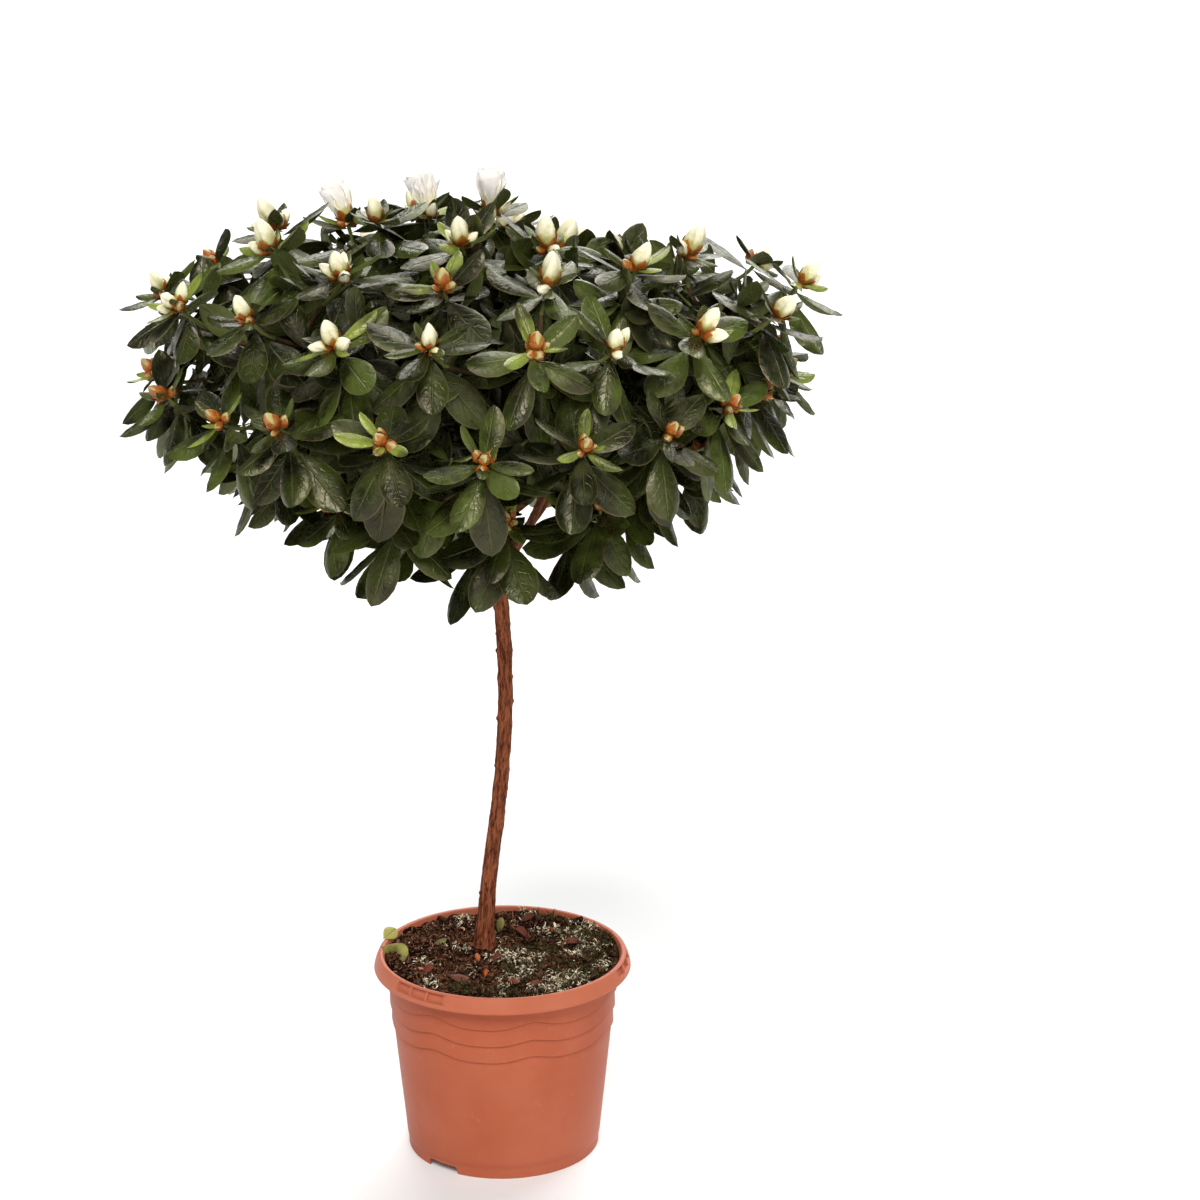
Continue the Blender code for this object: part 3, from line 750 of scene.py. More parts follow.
def pot_rows(angle, settings):
    """(radius, height) of the pot's points at one compass angle, from the axis out, up, over and in."""
    lip = POT_HEIGHT - RIM_DEPTH
    foot = FOOT_RADIUS - POT_WALL
    rows = [(0.0, 0.0), (PAD_RADIUS, 0.0), (PAD_RADIUS, FLOOR_HEIGHT), (foot, FLOOR_HEIGHT)]
    rows += [(foot, 0.0), (FOOT_RADIUS - 0.0005, 0.0), (FOOT_RADIUS - 0.0001, 0.0005)]
    rows += [(wall_radius(z) - 0.0003, z) for z in (0.0030, 0.0058, LEDGE_HEIGHT - 0.0003)]
    rows += [(wall_radius(z), z) for z in (LEDGE_HEIGHT + 0.0002, 0.0120)]
    rows += [(wall_radius(z), z) for z in np.linspace(0.020, 0.080, 9)]
    heights = [wave_height(wave, angle) for wave in WAVES] + [lip]
    for low, high in zip(heights, heights[1:]):
        rows += [(wall_radius(low), low - 0.0010), (wall_radius(low) - 0.0003, low - 0.00025)]
        for share in (0.0, 0.12, 0.4, 0.7):
            z = low + 0.0001 + share * (high - low - 0.0015)
            rows.append((wall_radius(z) + settings.wave_step * (1 - share) ** 1.3, z))
    rows += [(SHOULDER_RADIUS + 0.0003, lip - 0.0006), (SHOULDER_RADIUS + 0.0012, lip)]
    rows += [(RIM_LIP_RADIUS - 0.0011, lip), (RIM_LIP_RADIUS - 0.0003, lip + 0.0003)]
    top = GRIP_HIGH
    for z in (lip + 0.0010, 0.1280, GRIP_LOW - 0.0003, GRIP_LOW, 0.1310, 0.1330, top, top + 0.0002):
        share = (z - lip - 0.0010) / (top - lip - 0.0010)
        bulge = 0.0004 * math.sin(math.pi * min(1.0, share))
        radius = RIM_LIP_RADIUS + share * (RIM_TOP_RADIUS + 0.0002 - RIM_LIP_RADIUS) + bulge
        rows.append((radius - grip_depth(angle, z, settings.grip_depth), z))
    rows += [(RIM_TOP_RADIUS - drop, z) for drop, z in ((0.0003, 0.1356), (0.0010, POT_HEIGHT))]
    rows += [(RIM_TOP_RADIUS - drop, z) for drop, z in ((0.0020, POT_HEIGHT), (0.0029, 0.1357))]
    rows += [(RIM_TOP_RADIUS - drop, z) for drop, z in ((0.0036, 0.1348), (0.0041, 0.1330))]
    rows += [(0.0771, 0.1295), (SHOULDER_RADIUS - POT_WALL + 0.0002, lip)]
    floor = FLOOR_HEIGHT + POT_WALL
    rows += [(wall_radius(z) - POT_WALL, z) for z in (0.110, WAIST_HEIGHT, 0.030, floor + 0.001)]
    rows += [(wall_radius(floor) - POT_WALL - 0.001, floor), (0.0, floor)]
    return rows


def revolved(name, columns, rows_at):
    """A closed mesh of points in columns round the axis. Its first and last rows are single points."""
    shape = bmesh.new()
    rings = []
    for angle in columns:
        turned = [(r * math.cos(angle), r * math.sin(angle), z) for r, z in rows_at(angle)]
        if not rings:
            low, high = shape.verts.new(turned[0]), shape.verts.new(turned[-1])
        rings.append([shape.verts.new(place) for place in turned[1:-1]])
    for k, ring in enumerate(rings):
        after = rings[(k + 1) % len(rings)]
        shape.faces.new((low, after[0], ring[0]))
        shape.faces.new((high, ring[-1], after[-1]))
        for j in range(len(ring) - 1):
            shape.faces.new((ring[j], after[j], after[j + 1], ring[j + 1]))
    return mesh_from(shape, name)


def pot_cutters():
    """The drain holes and the notches in the foot ring, as one collection of solids."""
    held = bpy.data.collections.new("pot_cutters")
    for k in range(DRAIN_HOLES):
        shape = bmesh.new()
        place = Matrix.Rotation(math.tau * k / DRAIN_HOLES, 4, "Z")
        place = place @ Matrix.Translation((DRAIN_CIRCLE, 0, FLOOR_HEIGHT))
        bmesh.ops.create_cone(
            shape,
            cap_ends=True,
            segments=24,
            radius1=DRAIN_RADIUS,
            radius2=DRAIN_RADIUS,
            depth=4 * POT_WALL,
            matrix=place,
        )
        held.objects.link(bpy.data.objects.new("drain_cutter", mesh_from(shape, "drain_cutter")))
    for angle in NOTCH_ANGLES:
        shape = bmesh.new()
        size = Matrix.Diagonal((NOTCH_DEPTH, NOTCH_WIDTH, 2 * NOTCH_HEIGHT, 1))
        place = Matrix.Rotation(angle, 4, "Z") @ Matrix.Translation((FOOT_RADIUS, 0, 0))
        bmesh.ops.create_cube(shape, size=1, matrix=place @ size)
        ends = [e for e in shape.edges if abs((e.verts[0].co - e.verts[1].co).z) < 1e-6]
        ends = [e for e in ends if (e.verts[0].co + e.verts[1].co).z > 0]
        bmesh.ops.bevel(shape, geom=ends, offset=0.0012, segments=3, affect="EDGES")
        held.objects.link(bpy.data.objects.new("notch_cutter", mesh_from(shape, "notch_cutter")))
    return held


def plastic_material(settings):
    """Moulded plastic, matt, with faint clouds, rubbed spots, a dusty foot, and a rim lightened towards the
    scuff colour: painted highlight with some scuffs.
    """
    made, tree, shader = new_material("moulded plastic", settings.roughness, 0.12)
    place = object_place(tree)
    cloudy = clouds(tree, place, 22, 4)
    rubbed = ramp(tree, clouds(tree, place, 160, 5, 0.65), 0.60, 0.74)
    height = add_node(tree, "ShaderNodeSeparateXYZ", {0: place}).outputs[2]
    foot_dust = ramp(tree, height, 0.0, 0.045, 0.35, 0.0)
    # Painted highlight: the rim is blended towards the scuff colour as if lit from above, partly real scuffs.
    rim_scuffs_and_highlight = ramp(tree, height, RIM_SCUFF_AND_HIGHLIGHT_HEIGHTS[0], RIM_SCUFF_AND_HIGHLIGHT_HEIGHTS[1], 0.0, 1.1)
    worn_and_highlight = maths(tree, "MULTIPLY", maths(tree, "ADD", foot_dust, rim_scuffs_and_highlight), cloudy)
    tone = blended(tree, ramp(tree, cloudy, 0.3, 0.7, 0.0, 0.30), settings.colour, settings.scuffed_and_highlight)
    worn_and_highlight = maths(tree, "ADD", maths(tree, "MULTIPLY", rubbed, 0.35), worn_and_highlight)
    tone = blended(tree, worn_and_highlight, tone, settings.scuffed_and_highlight)
    cells = add_node(tree, "ShaderNodeTexVoronoi", {"Vector": place, "Scale": 75.0})
    chosen = add_node(tree, "ShaderNodeSeparateColor", {0: cells.outputs["Color"]}).outputs[0]
    dots = ramp(tree, cells.outputs["Distance"], 0.02, 0.05, 1.0, 0.0)
    specks = maths(tree, "MULTIPLY", dots, ramp(tree, chosen, 0.72, 0.78))
    tone = blended(tree, maths(tree, "MULTIPLY", specks, 0.6), tone, (0.80, 0.62, 0.52))
    grain = maths(tree, "ADD", clouds(tree, place, 900, 2), maths(tree, "MULTIPLY", cloudy, 0.6))
    wear(tree, shader, tone, grain, 0.00012, 0.5)
    return made


# ---------------------------------------------------------------- soil


def soil_height(x, y):
    """The soil's surface: a low mound with lumps, level where the trunk stands."""
    share = min(1.0, math.hypot(x, y) / SHOULDER_RADIUS)
    mound = SOIL_MIDDLE_HEIGHT + (SOIL_EDGE_HEIGHT - SOIL_MIDDLE_HEIGHT) * share**2
    lumps = SOIL_ROUGHNESS * noise.noise(Vector((x, y, 0)) * LUMPS_PER_METRE)
    from_trunk = math.hypot(x - TRUNK_FOOT.x, y - TRUNK_FOOT.y)
    level = min(1.0, max(0.0, from_trunk / FOOTHOLD_RADIUS - 1.0))
    return SOIL_MIDDLE_HEIGHT + level * (mound + lumps - SOIL_MIDDLE_HEIGHT)


def crumbly_height(x, y):
    """The soil's surface with its clods and crumbs, heaped up towards the pot's wall."""
    clods = noise.fractal(Vector((x, y, 3.0)) * 130, 0.7, 2.1, 5)
    hummocks = noise.noise(Vector((x, y, 12.0)) * 62) * min(1.0, max(0.0, 0.5 + x / 0.07))
    away = math.hypot(x - TRUNK_FOOT.x, y - TRUNK_FOOT.y)
    heap = SOIL_HEAP * min(1.0, math.hypot(x, y) / SOIL_RADIUS) ** 2
    rough = 0.0036 * clods + 0.0026 * hummocks + 0.0008
    return soil_height(x, y) + heap + rough * min(1.0, away / 0.02)


def soil_columns(angle):
    """(radius, height) of the soil's points at one compass angle, from the axis below to the axis above."""
    low = SOIL_EDGE_HEIGHT - SOIL_DEPTH
    side = Vector((math.cos(angle), math.sin(angle)))
    rows = [(0.0, low), (0.0735, low), (0.0752, SOIL_EDGE_HEIGHT - 0.004), (0.0768, SOIL_EDGE_HEIGHT)]
    for radius in np.arange(SOIL_RADIUS, 0.0009, -0.0011):
        rows.append((radius, crumbly_height(side.x * radius, side.y * radius)))
    return rows + [(0.0, crumbly_height(0.0, 0.0))]


def cover(place, kind):
    """How much of a kind lies at a place on the soil, from 0 to 1."""
    x, y, z = place
    if z < SOIL_EDGE_HEIGHT - 0.003 or math.hypot(x, y) > SOIL_RADIUS - 0.002:
        return 0.0
    if math.hypot(x - TRUNK_FOOT.x, y - TRUNK_FOOT.y) < 0.0095:
        return 0.0
    patches = 0.5 + 0.5 * noise.noise(Vector((x, y, 9.0)) * 55)
    frizz = 0.5 + 0.5 * noise.noise(Vector((x, y, 21.0)) * 50)
    towards = min(0.9, 0.5 + (x - 0.35 * y) / 0.13)
    if kind == "moss":
        return min(1.0, max(0.0, (towards * 0.75 + patches - 0.92) * 5.0))
    if kind == "lichen":
        return min(1.0, max(0.0, (towards * 0.50 + frizz * 1.5 - 1.09) * 8.0))
    if kind == "chips":
        return min(1.0, max(0.12, 1.0 - towards * 0.6))
    return 1.0


def crumb_mesh(name, number, flat):
    """A crumb or, when flat, a chip of bark, about 1 across."""
    shape = bmesh.new()
    bmesh.ops.create_icosphere(shape, subdivisions=1, radius=0.5)
    for vertex in shape.verts:
        vertex.co *= 1 + 0.5 * noise.noise(vertex.co * 2.2 + Vector((number * 5.1, 2.0, 7.0)))
        vertex.co.y *= 0.75 - 0.2 * (number % 2)
        vertex.co.z *= flat
    return mesh_from(shape, name)


def tuft_mesh(name, number, blades, curl, width, steps=3):
    """A tuft about 1 high of narrow blades that spread and curl from one root."""
    chance = random.Random(SEED + number)
    places, faces = [], []
    for _ in range(blades):
        turn = chance.uniform(0, math.tau)
        lean = chance.uniform(0.1, 1.25)
        reach = chance.uniform(0.6, 1.2)
        side = Vector((-math.sin(turn), math.cos(turn), 0))
        out = Vector((math.cos(turn), math.sin(turn), 0))
        place = out * chance.uniform(0, 0.35) - UP * 0.12
        start = len(places)
        twist = chance.uniform(-1.2, 1.2)
        for k in range(steps + 1):
            half = side * width * (1 - 0.8 * k / steps) / 2
            places += [place - half, place + half]
            bend = lean + curl * k / steps
            place = place + (out * math.sin(bend) + UP * math.cos(bend)) * reach / steps
            place = place + side * twist * reach * math.sin(1.5 * k) * 0.5 / steps
        for k in range(steps):
            j = start + 2 * k
            faces.append((j, j + 1, j + 3, j + 2))
    mesh = bpy.data.meshes.new(name)
    mesh.from_pydata(places, [], faces)
    return mesh


def earth_material(settings):
    """Dark peat, speckled, with reddish fibres in patches."""
    made, tree, shader = new_material("potting soil", 0.95, 0.0)
    place = object_place(tree)
    patches = clouds(tree, place, 42, 3)
    specks = clouds(tree, place, 700, 4, 0.7)
    share = maths(tree, "MULTIPLY", ramp(tree, patches, 0.35, 0.62), ramp(tree, specks, 0.44, 0.62))
    tone = blended(tree, share, settings.peat, settings.fibre)
    height = maths(tree, "ADD", specks, clouds(tree, place, 1500, 3))
    wear(tree, shader, tone, height, 0.0006, 0.9)
    return made


def speckled_material(name, light, dark, scale, roughness, low=0.35, high=0.65):
    """A dull finish mottled between two colours."""
    made, tree, shader = new_material(name, roughness, 0.04)
    place = object_place(tree)
    mottle = clouds(tree, place, scale, 4, 0.6)
    wear(tree, shader, blended(tree, ramp(tree, mottle, low, high), dark, light), mottle, 0.0003, 0.6)
    return made


def strew(name, ground, meshes, material, **values):
    """One piece strewn over a copy of the soil's surface."""
    held = shapes_collection(name + "_shapes", meshes)
    piece = new_object(name, ground.data.copy())
    where = values["where"]
    marks = piece.data.attributes.new(where, "FLOAT", "POINT")
    marks.data.foreach_set("value", [cover(v.co, where) for v in piece.data.vertices])
    settings = {
        "Shapes": held,
        "Material": material,
        "Where": where,
        "Spacing": values["spacing"],
        "Smallest": values["smallest"],
        "Largest": values["largest"],
        "Tilt": values["tilt"],
        "Seed": values["seed"],
    }
    run_tree(piece, strewn_tree(), settings)
    clear_shapes(held)
    return piece


# ---------------------------------------------------------------- where the plant grows


def mix(ends, share):
    return ends[0] + (ends[1] - ends[0]) * share


def degrees_apart(first, second):
    return abs((first - second + 180) % 360 - 180)


def trunk_point(share):
    """A point of the trunk's centre line, from its foot at 0 to its top at 1."""
    bow = TRUNK_BOW * math.sin(math.pi * share) ** 2
    return TRUNK_FOOT.lerp(TRUNK_TOP, share) + Vector((bow, 0, 0))


def trunk_radius(share):
    """The taper, with the root flare added near the foot."""
    above = share * (TRUNK_TOP.z - TRUNK_FOOT.z)
    shares, radii = zip(*TRUNK_TAPER)
    return float(np.interp(share, shares, radii)) + FLARE_RADIUS * math.exp(-above / FLARE_HEIGHT)


def crown_point(compass, polar):
    """A point of the crown's surface, at a compass angle from +X and an angle from the crown's top."""
    side = Vector((math.cos(compass), math.sin(compass), 0))
    place = side * CROWN_RADIUS * math.sin(polar) + UP * CROWN_RISE * math.cos(polar)
    push = 0.0
    for lobe_compass, lobe_polar, reach, spread in LOBES:
        around = degrees_apart(math.degrees(compass), lobe_compass) * math.sin(polar)
        along = math.degrees(polar) - lobe_polar
        push += reach * math.exp(-(around**2 + along**2) / (2 * spread**2))
    return CROWN_CENTRE + place + place.normalized() * push


def crown_share(place):
    """How far out in the crown a place is, from 0 at its centre to 1 at its surface."""
    away = place - CROWN_CENTRE
    flat = math.hypot(away.x, away.y)
    polar = math.atan2(flat / CROWN_RADIUS, away.z / CROWN_RISE)
    surface = crown_point(math.atan2(away.y, away.x), polar) - CROWN_CENTRE
    return away.length / surface.length


def spread_over_crown(spacing, ring_turns):
    """(tier, compass, polar) of points about spacing apart: one on top, then rings down the crown."""
    found = [(0, 0.0, 0.0)]
    walked, tier, polar = 0.0, 1, 0.0
    step = math.radians(0.5)
    while polar < CROWN_EDGE:
        arc = math.hypot(CROWN_RADIUS * math.cos(polar), CROWN_RISE * math.sin(polar))
        walked += arc * step
        polar += step
        if walked >= spacing * tier:
            around = math.tau * CROWN_RADIUS * math.sin(polar)
            count = max(4, round(around / spacing))
            for k in range(count):
                found.append((tier, math.tau * (k + ring_turns[tier - 1]) / count, polar))
            tier += 1
    return found


class Spray:
    """One shoot of the crown's surface: its tip, the way it points, its ripeness and its own chance."""

    def __init__(self, number, compass, polar):
        self.number = number
        self.chance = random.Random(SEED * 1000 + number)
        jitter = [self.chance.uniform(-1, 1) for _ in range(3)]
        around = max(0.25, math.sin(polar)) * CROWN_RADIUS
        compass += jitter[0] * SPRAY_JITTER / around
        polar = abs(polar + jitter[1] * SPRAY_JITTER / CROWN_RADIUS)
        self.tip = crown_point(compass, polar)
        outward = Vector((math.cos(compass), math.sin(compass), 0)) * math.sin(polar)
        upward = 1.0 - (1.0 - SPRAY_OUTWARD) * math.sin(polar)
        self.axis = (outward * SPRAY_OUTWARD + UP * upward).normalized()
        self.tip += self.axis * jitter[2] * SPRAY_JITTER * 0.6
        self.foot = self.tip - self.axis * SHOOT_LENGTH
        self.turn = self.chance.uniform(0, math.tau)
        ripeness = (1.0 + math.cos(polar)) / 2 + self.chance.uniform(-0.2, 0.2)
        self.ripeness = min(1.0, max(0.0, ripeness))
        self.opens = number in OPENING
        self.young = number in YOUNG
        if number in LATE:
            self.ripeness = 0.5


class SideShoot:
    """A shorter shoot inside the crown, with fewer and smaller leaves and no bud of note."""

    def __init__(self, number, start, tip, axis):
        self.number = number
        self.chance = random.Random(SEED * 7919 + number)
        self.start = start
        self.axis = axis
        self.tip = tip
        self.turn = self.chance.uniform(0, math.tau)

    def line(self):
        length = (self.tip - self.start).length
        away = (self.tip - self.start).normalized()
        lead = self.start + (away * 1.3 - self.axis * 0.5) * length * 0.4
        follow = self.tip - self.axis * length * 0.35
        return resampled(bezier(self.start, lead, follow, self.tip, 12), TWIG_STEP)


def bezier(start, lead, follow, end, steps):
    """Points along a cubic curve that leaves start towards lead and reaches end from follow."""
    found = []
    for k in range(steps + 1):
        t = k / steps
        weights = ((1 - t) ** 3, 3 * t * (1 - t) ** 2, 3 * t**2 * (1 - t), t**3)
        corners = (start, lead, follow, end)
        found.append(sum((c * w for c, w in zip(corners, weights)), Vector()))
    return found


class Bough:
    """One limb from inside the trunk to the stem of its mass of foliage."""

    def __init__(self, name, compass, polar, root_height):
        self.name = name
        self.aim = crown_point(compass, polar)
        self.tip = CROWN_HEART.lerp(self.aim, BOUGH_REACH)
        self.hub = CROWN_HEART.lerp(self.aim, HUB_REACH)
        self.sprays = []
        self.onward = (self.hub - self.tip).normalized()
        if root_height is None:
            start_way = (TRUNK_TOP - trunk_point(1 - 1 / TRUNK_STEPS)).normalized()
            self.root = TRUNK_TOP.copy()
        else:
            share = (root_height - TRUNK_FOOT.z) / (TRUNK_TOP.z - TRUNK_FOOT.z)
            side = Vector((math.cos(compass), math.sin(compass), 0))
            start_way = (side * math.cos(BOUGH_RISE) + UP * math.sin(BOUGH_RISE)).normalized()
            self.root = trunk_point(share) + side * trunk_radius(share)
        length = (self.tip - self.root).length
        lead = self.root + start_way * length * 0.35
        follow = self.tip - self.onward * length * 0.3
        steps = round(length / LIMB_STEP)
        self.points = bezier(self.root, lead, follow, self.tip, steps)
        sunk = 0.006 if root_height is None else trunk_radius(share) * 0.9
        self.points.insert(0, self.root - start_way * sunk)

    def radii(self):
        """The taper, with a collar where the bough leaves the trunk."""
        found, walked = [], 0.0
        for k, point in enumerate(self.points):
            walked += (point - self.points[k - 1]).length if k else 0.0
            collar = 0.0009 * math.exp(-walked / 0.007)
            found.append(mix((BOUGH_RADIUS, BOUGH_TIP_RADIUS), k / (len(self.points) - 1)) + collar)
        return found


def plan_boughs():
    boughs, count = [], {}
    for tier, compass, polar in spread_over_crown(BOUGH_SPACING, BOUGH_RING_TURNS):
        count[tier] = count.get(tier, 0) + 1
        name, height = BOUGH_TIERS[tier]
        if height is not None:
            name += f"_{count[tier]}"
            height += BOUGH_ROOT_STEP * (count[tier] % 3)
        boughs.append(Bough(name, compass, polar, height))
    return boughs


def plan_sprays(boughs):
    """Spreads the sprays over the crown and gives each to the bough that aims nearest to it."""
    sprays = []
    for number, (_, compass, polar) in enumerate(spread_over_crown(SPRAY_SPACING, SPRAY_RING_TURNS)):
        spray = Spray(number, compass, polar)
        near = min(boughs, key=lambda bough: (bough.aim - spray.tip).length)
        near.sprays.append(spray)
        sprays.append(spray)
    return sprays


def resampled(points, step):
    """Points about step apart along the same line."""
    lengths = [0.0]
    for start, end in zip(points, points[1:]):
        lengths.append(lengths[-1] + (end - start).length)
    wanted = np.linspace(0, lengths[-1], max(3, round(lengths[-1] / step)) + 1)
    axes = [np.interp(wanted, lengths, [point[k] for point in points]) for k in range(3)]
    return [Vector(place) for place in zip(*axes)]


def wandering(points, amount):
    """A line that strays a little from its own, but keeps its ends."""
    found = []
    for k, point in enumerate(points):
        share = math.sin(math.pi * k / (len(points) - 1))
        found.append(point + noise.noise_vector(point * 28) * amount * share)
    return found


def plan_twigs(bough):
    """The lines of a mass's twigs: a stem to its leading spray, and a twig to each other spray, in turn."""
    start = bough.tip - bough.onward * 0.001
    forward = bough.hub - start
    sprays = sorted(bough.sprays, key=lambda spray: forward.angle(spray.tip - start))
    leader = sprays[0]
    end = leader.tip + leader.axis * 0.001
    reach = (end - start).length
    stem = bezier(start, start + bough.onward * reach * 0.5, end - leader.axis * reach * 0.3, end, 40)
    stem = wandering(resampled(stem, TWIG_STEP), 0.004)
    twigs = [(leader, stem, STEM_RADIUS)]
    fork_end = 0.62
    for number, spray in enumerate(sprays[:0:-1]):
        share = fork_end * mix((FIRST_FORK, 1.0), number / max(1, len(sprays) - 2))
        at = min(len(stem) - 2, round(share * (len(stem) - 1)))
        fork, onward = stem[at], (stem[at + 1] - stem[at]).normalized()
        end = spray.tip + spray.axis * 0.001
        reach = (end - fork).length
        aside = (end - fork).normalized()
        lead = fork + (onward + aside * 0.9).normalized() * reach * 0.34
        line = bezier(fork, lead, end - spray.axis * min(0.04, reach * 0.38), end, 40)
        twigs.append((spray, wandering(resampled(line, TWIG_STEP), 0.005), TWIG_RADIUS))
    return twigs


def plan_side_shoots(line, spray, first_number):
    """Shoots that leave a twig one after another round it, and stay inside the crown."""
    found = []
    turn = spray.turn
    for number, share in enumerate(SIDE_SHARES):
        chance = random.Random(SEED * 6113 + first_number + number)
        at = min(len(line) - 2, round((share + chance.uniform(-0.05, 0.05)) * (len(line) - 1)))
        onward = (line[at + 1] - line[at]).normalized()
        turn += GOLDEN_ANGLE
        across = Matrix.Rotation(turn, 3, onward) @ onward.orthogonal().normalized()
        lean = math.radians(chance.uniform(42, 62))
        axis = (onward * math.cos(lean) + across * math.sin(lean) + UP * 0.25).normalized()
        length = chance.uniform(*SIDE_LENGTHS)
        shoot = SideShoot(first_number + number, line[at], line[at] + axis * length, axis)
        if crown_share(shoot.tip) < SIDE_REACH and (shoot.tip - CROWN_HEART).length > 0.035:
            found.append(shoot)
    return found


class Growth:
    """The whole plant, planned once: limbs, twigs, sprays and side shoots."""

    def __init__(self):
        self.boughs = plan_boughs()
        self.sprays = plan_sprays(self.boughs)
        self.twigs, self.shoots, self.side_shoots = [], [], []
        for bough in self.boughs:
            for spray, line, radius in plan_twigs(bough):
                self.add_twig(spray, line, radius)
        self.add_inner_shoots()

    def add_twig(self, spray, line, radius):
        """A twig in two lengths: woody up to its last stretch, and green from there."""
        green = min(len(line) - 2, round(0.026 / TWIG_STEP))
        ends = (radius, SHOOT_RADIUS)
        radii = [mix(ends, (k / (len(line) - 1)) ** 0.8) for k in range(len(line))]
        self.twigs.append((line[: -green or None], radii[: -green or None]))
        self.shoots.append((line[-green - 1 :], radii[-green - 1 :]))
        for shoot in plan_side_shoots(line, spray, 10 * spray.number):
            self.add_side_shoot(shoot)

    def add_side_shoot(self, shoot):
        points = shoot.line()
        radii = [mix((0.0012, 0.0009), k / (len(points) - 1)) for k in range(len(points))]
        self.shoots.append((points, radii))
        self.side_shoots.append(shoot)

    def add_inner_shoots(self):
        """Fills the crown's inside: each shoot grows from the nearest point of a twig that lies deeper."""
        nodes = [(crown_share(point), point) for line, _ in self.twigs for point in line[2:]]
        for number in range(INNER_SHOOTS):
            polar = math.acos(1 - (1 - math.cos(INNER_EDGE)) * (number + 0.5) / INNER_SHOOTS)
            reach = mix(INNER_REACH, number * 0.618 % 1)
            tip = CROWN_CENTRE.lerp(crown_point(number * GOLDEN_ANGLE, polar), reach)
            deeper = [point for share, point in nodes if share < reach - 0.03]
            start = min(deeper, key=lambda point: (point - tip).length)
            if INNER_LENGTHS[0] < (tip - start).length < INNER_LENGTHS[1]:
                outward = (tip - CROWN_HEART).normalized()
                axis = ((tip - start).normalized() * 0.6 + outward + UP * 0.3).normalized()
                self.add_side_shoot(SideShoot(1000 + number, start, tip, axis))


GROWTH = Growth()


def trunk_limb():
    """The trunk's line and radii, from a little under the soil to its top."""
    count = round((TRUNK_TOP.z - TRUNK_FOOT.z) / LIMB_STEP)
    points, radii = [TRUNK_FOOT - UP * 0.006], [trunk_radius(0.0) * 1.1]
    for k in range(count + 1):
        points.append(trunk_point(k / count))
        radii.append(trunk_radius(k / count))
    points[1].x, points[1].y = points[0].x, points[0].y
    return points, radii


def bark_material(name, ridge, furrow, grain, relief):
    """Fibrous bark that flakes lengthways, by the limb's own grain."""
    made, tree, shader = new_material(name, 0.85, 0.08)
    own = add_node(tree, "ShaderNodeAttribute", attribute_name="grain").outputs["Vector"]
    drawn = add_node(
        tree, "ShaderNodeVectorMath", {0: own, 1: (1.0, 1.0, 0.13)}, operation="MULTIPLY"
    ).outputs[0]
    fibres = clouds(tree, drawn, grain, 6, 0.72)
    patches = ramp(tree, clouds(tree, drawn, grain * 0.33, 5, 0.6), 0.36, 0.62, -0.40, 0.32)
    share = maths(tree, "ADD", ramp(tree, fibres, 0.34, 0.64), patches)
    tone = blended(tree, maths(tree, "MULTIPLY", share, 0.95, clamp=True), furrow, ridge)
    wear(tree, shader, tone, fibres, relief, 1.0)
    return made


# ---------------------------------------------------------------- leaves, buds and blooms


def half_width(share, widest, fullness):
    """Half a blade's width at a share of its length, where the widest is 1."""
    swell = math.log(0.5) / math.log(widest)
    return 0.5 * math.sin(math.pi * share**swell) ** fullness


def blade_mesh(name, rows, columns, widest=0.56, fullness=0.8, **form):
    """A blade 1 long along +Y and 1 wide, with its upper face up and a UV map across and along it."""
    stalk = form.get("stalk", 0.0)
    shape = bmesh.new()
    uv = shape.loops.layers.uv.new("UVMap")
    grid, tip = [], None
    for number, along in enumerate(rows):
        if number == len(rows) - 1:
            break
        share = max(0.0, (along - stalk) / (1 - stalk))
        half = max(form.get("narrow", 0.03), half_width(share, widest, fullness) if share else 0.0)
        ring = []
        for across in columns:
            edge = abs(across)
            lift = -form.get("droop", 0.0) * along**2 - form.get("cup", 0.0) * half * edge**2
            lift -= form.get("groove", 0.0) * half * 2 * max(0.0, 1 - 2.4 * edge)
            lift += form.get("pucker", 0.0) * (1 if number % 2 else -1) * (0.2 < edge < 0.9)
            wave = math.sin(along * form.get("waves", 9) + across * 4 + form.get("phase", 0.0))
            lift += form.get("ruffle", 0.0) * wave * edge**2 * along
            x = half * across + form.get("bend", 0.0) * along**2
            ring.append(shape.verts.new((x, along, lift)))
        grid.append(ring)
    tip = shape.verts.new((form.get("bend", 0.0), 1.0, -form.get("droop", 0.0)))
    for low, high in zip(grid, grid[1:]):
        for j in range(len(columns) - 1):
            shape.faces.new((low[j], low[j + 1], high[j + 1], high[j]))
    for j in range(len(columns) - 1):
        shape.faces.new((grid[-1][j], grid[-1][j + 1], tip))
    places = {}
    for along, ring in zip(rows, grid):
        for across, vertex in zip(columns, ring):
            places[vertex] = (0.5 + 0.5 * across, along)
    places[tip] = (0.5, 1.0)
    return mapped_mesh(shape, name, uv, places)


LEAF_ROWS = (0.0, 0.05, 0.13, 0.25, 0.40, 0.56, 0.71, 0.84, 0.94, 1.0)
LEAF_COLUMNS = (-1, -0.52, 0, 0.52, 1)


# How much each form of leaf droops, bends and rolls its edges down.
LEAF_FORMS = (
    (0.05, 0.02, 0.16),
    (0.13, -0.04, 0.22),
    (0.20, 0.05, 0.14),
    (0.28, -0.02, 0.26),
    (0.10, 0.06, 0.30),
)
DRY_FORMS = (
    (-0.25, 0.12, -0.45),
    (0.40, -0.10, 0.30),
    (-0.15, 0.18, -0.60),
    (0.25, 0.08, -0.35),
    (0.45, -0.12, 0.40),
)


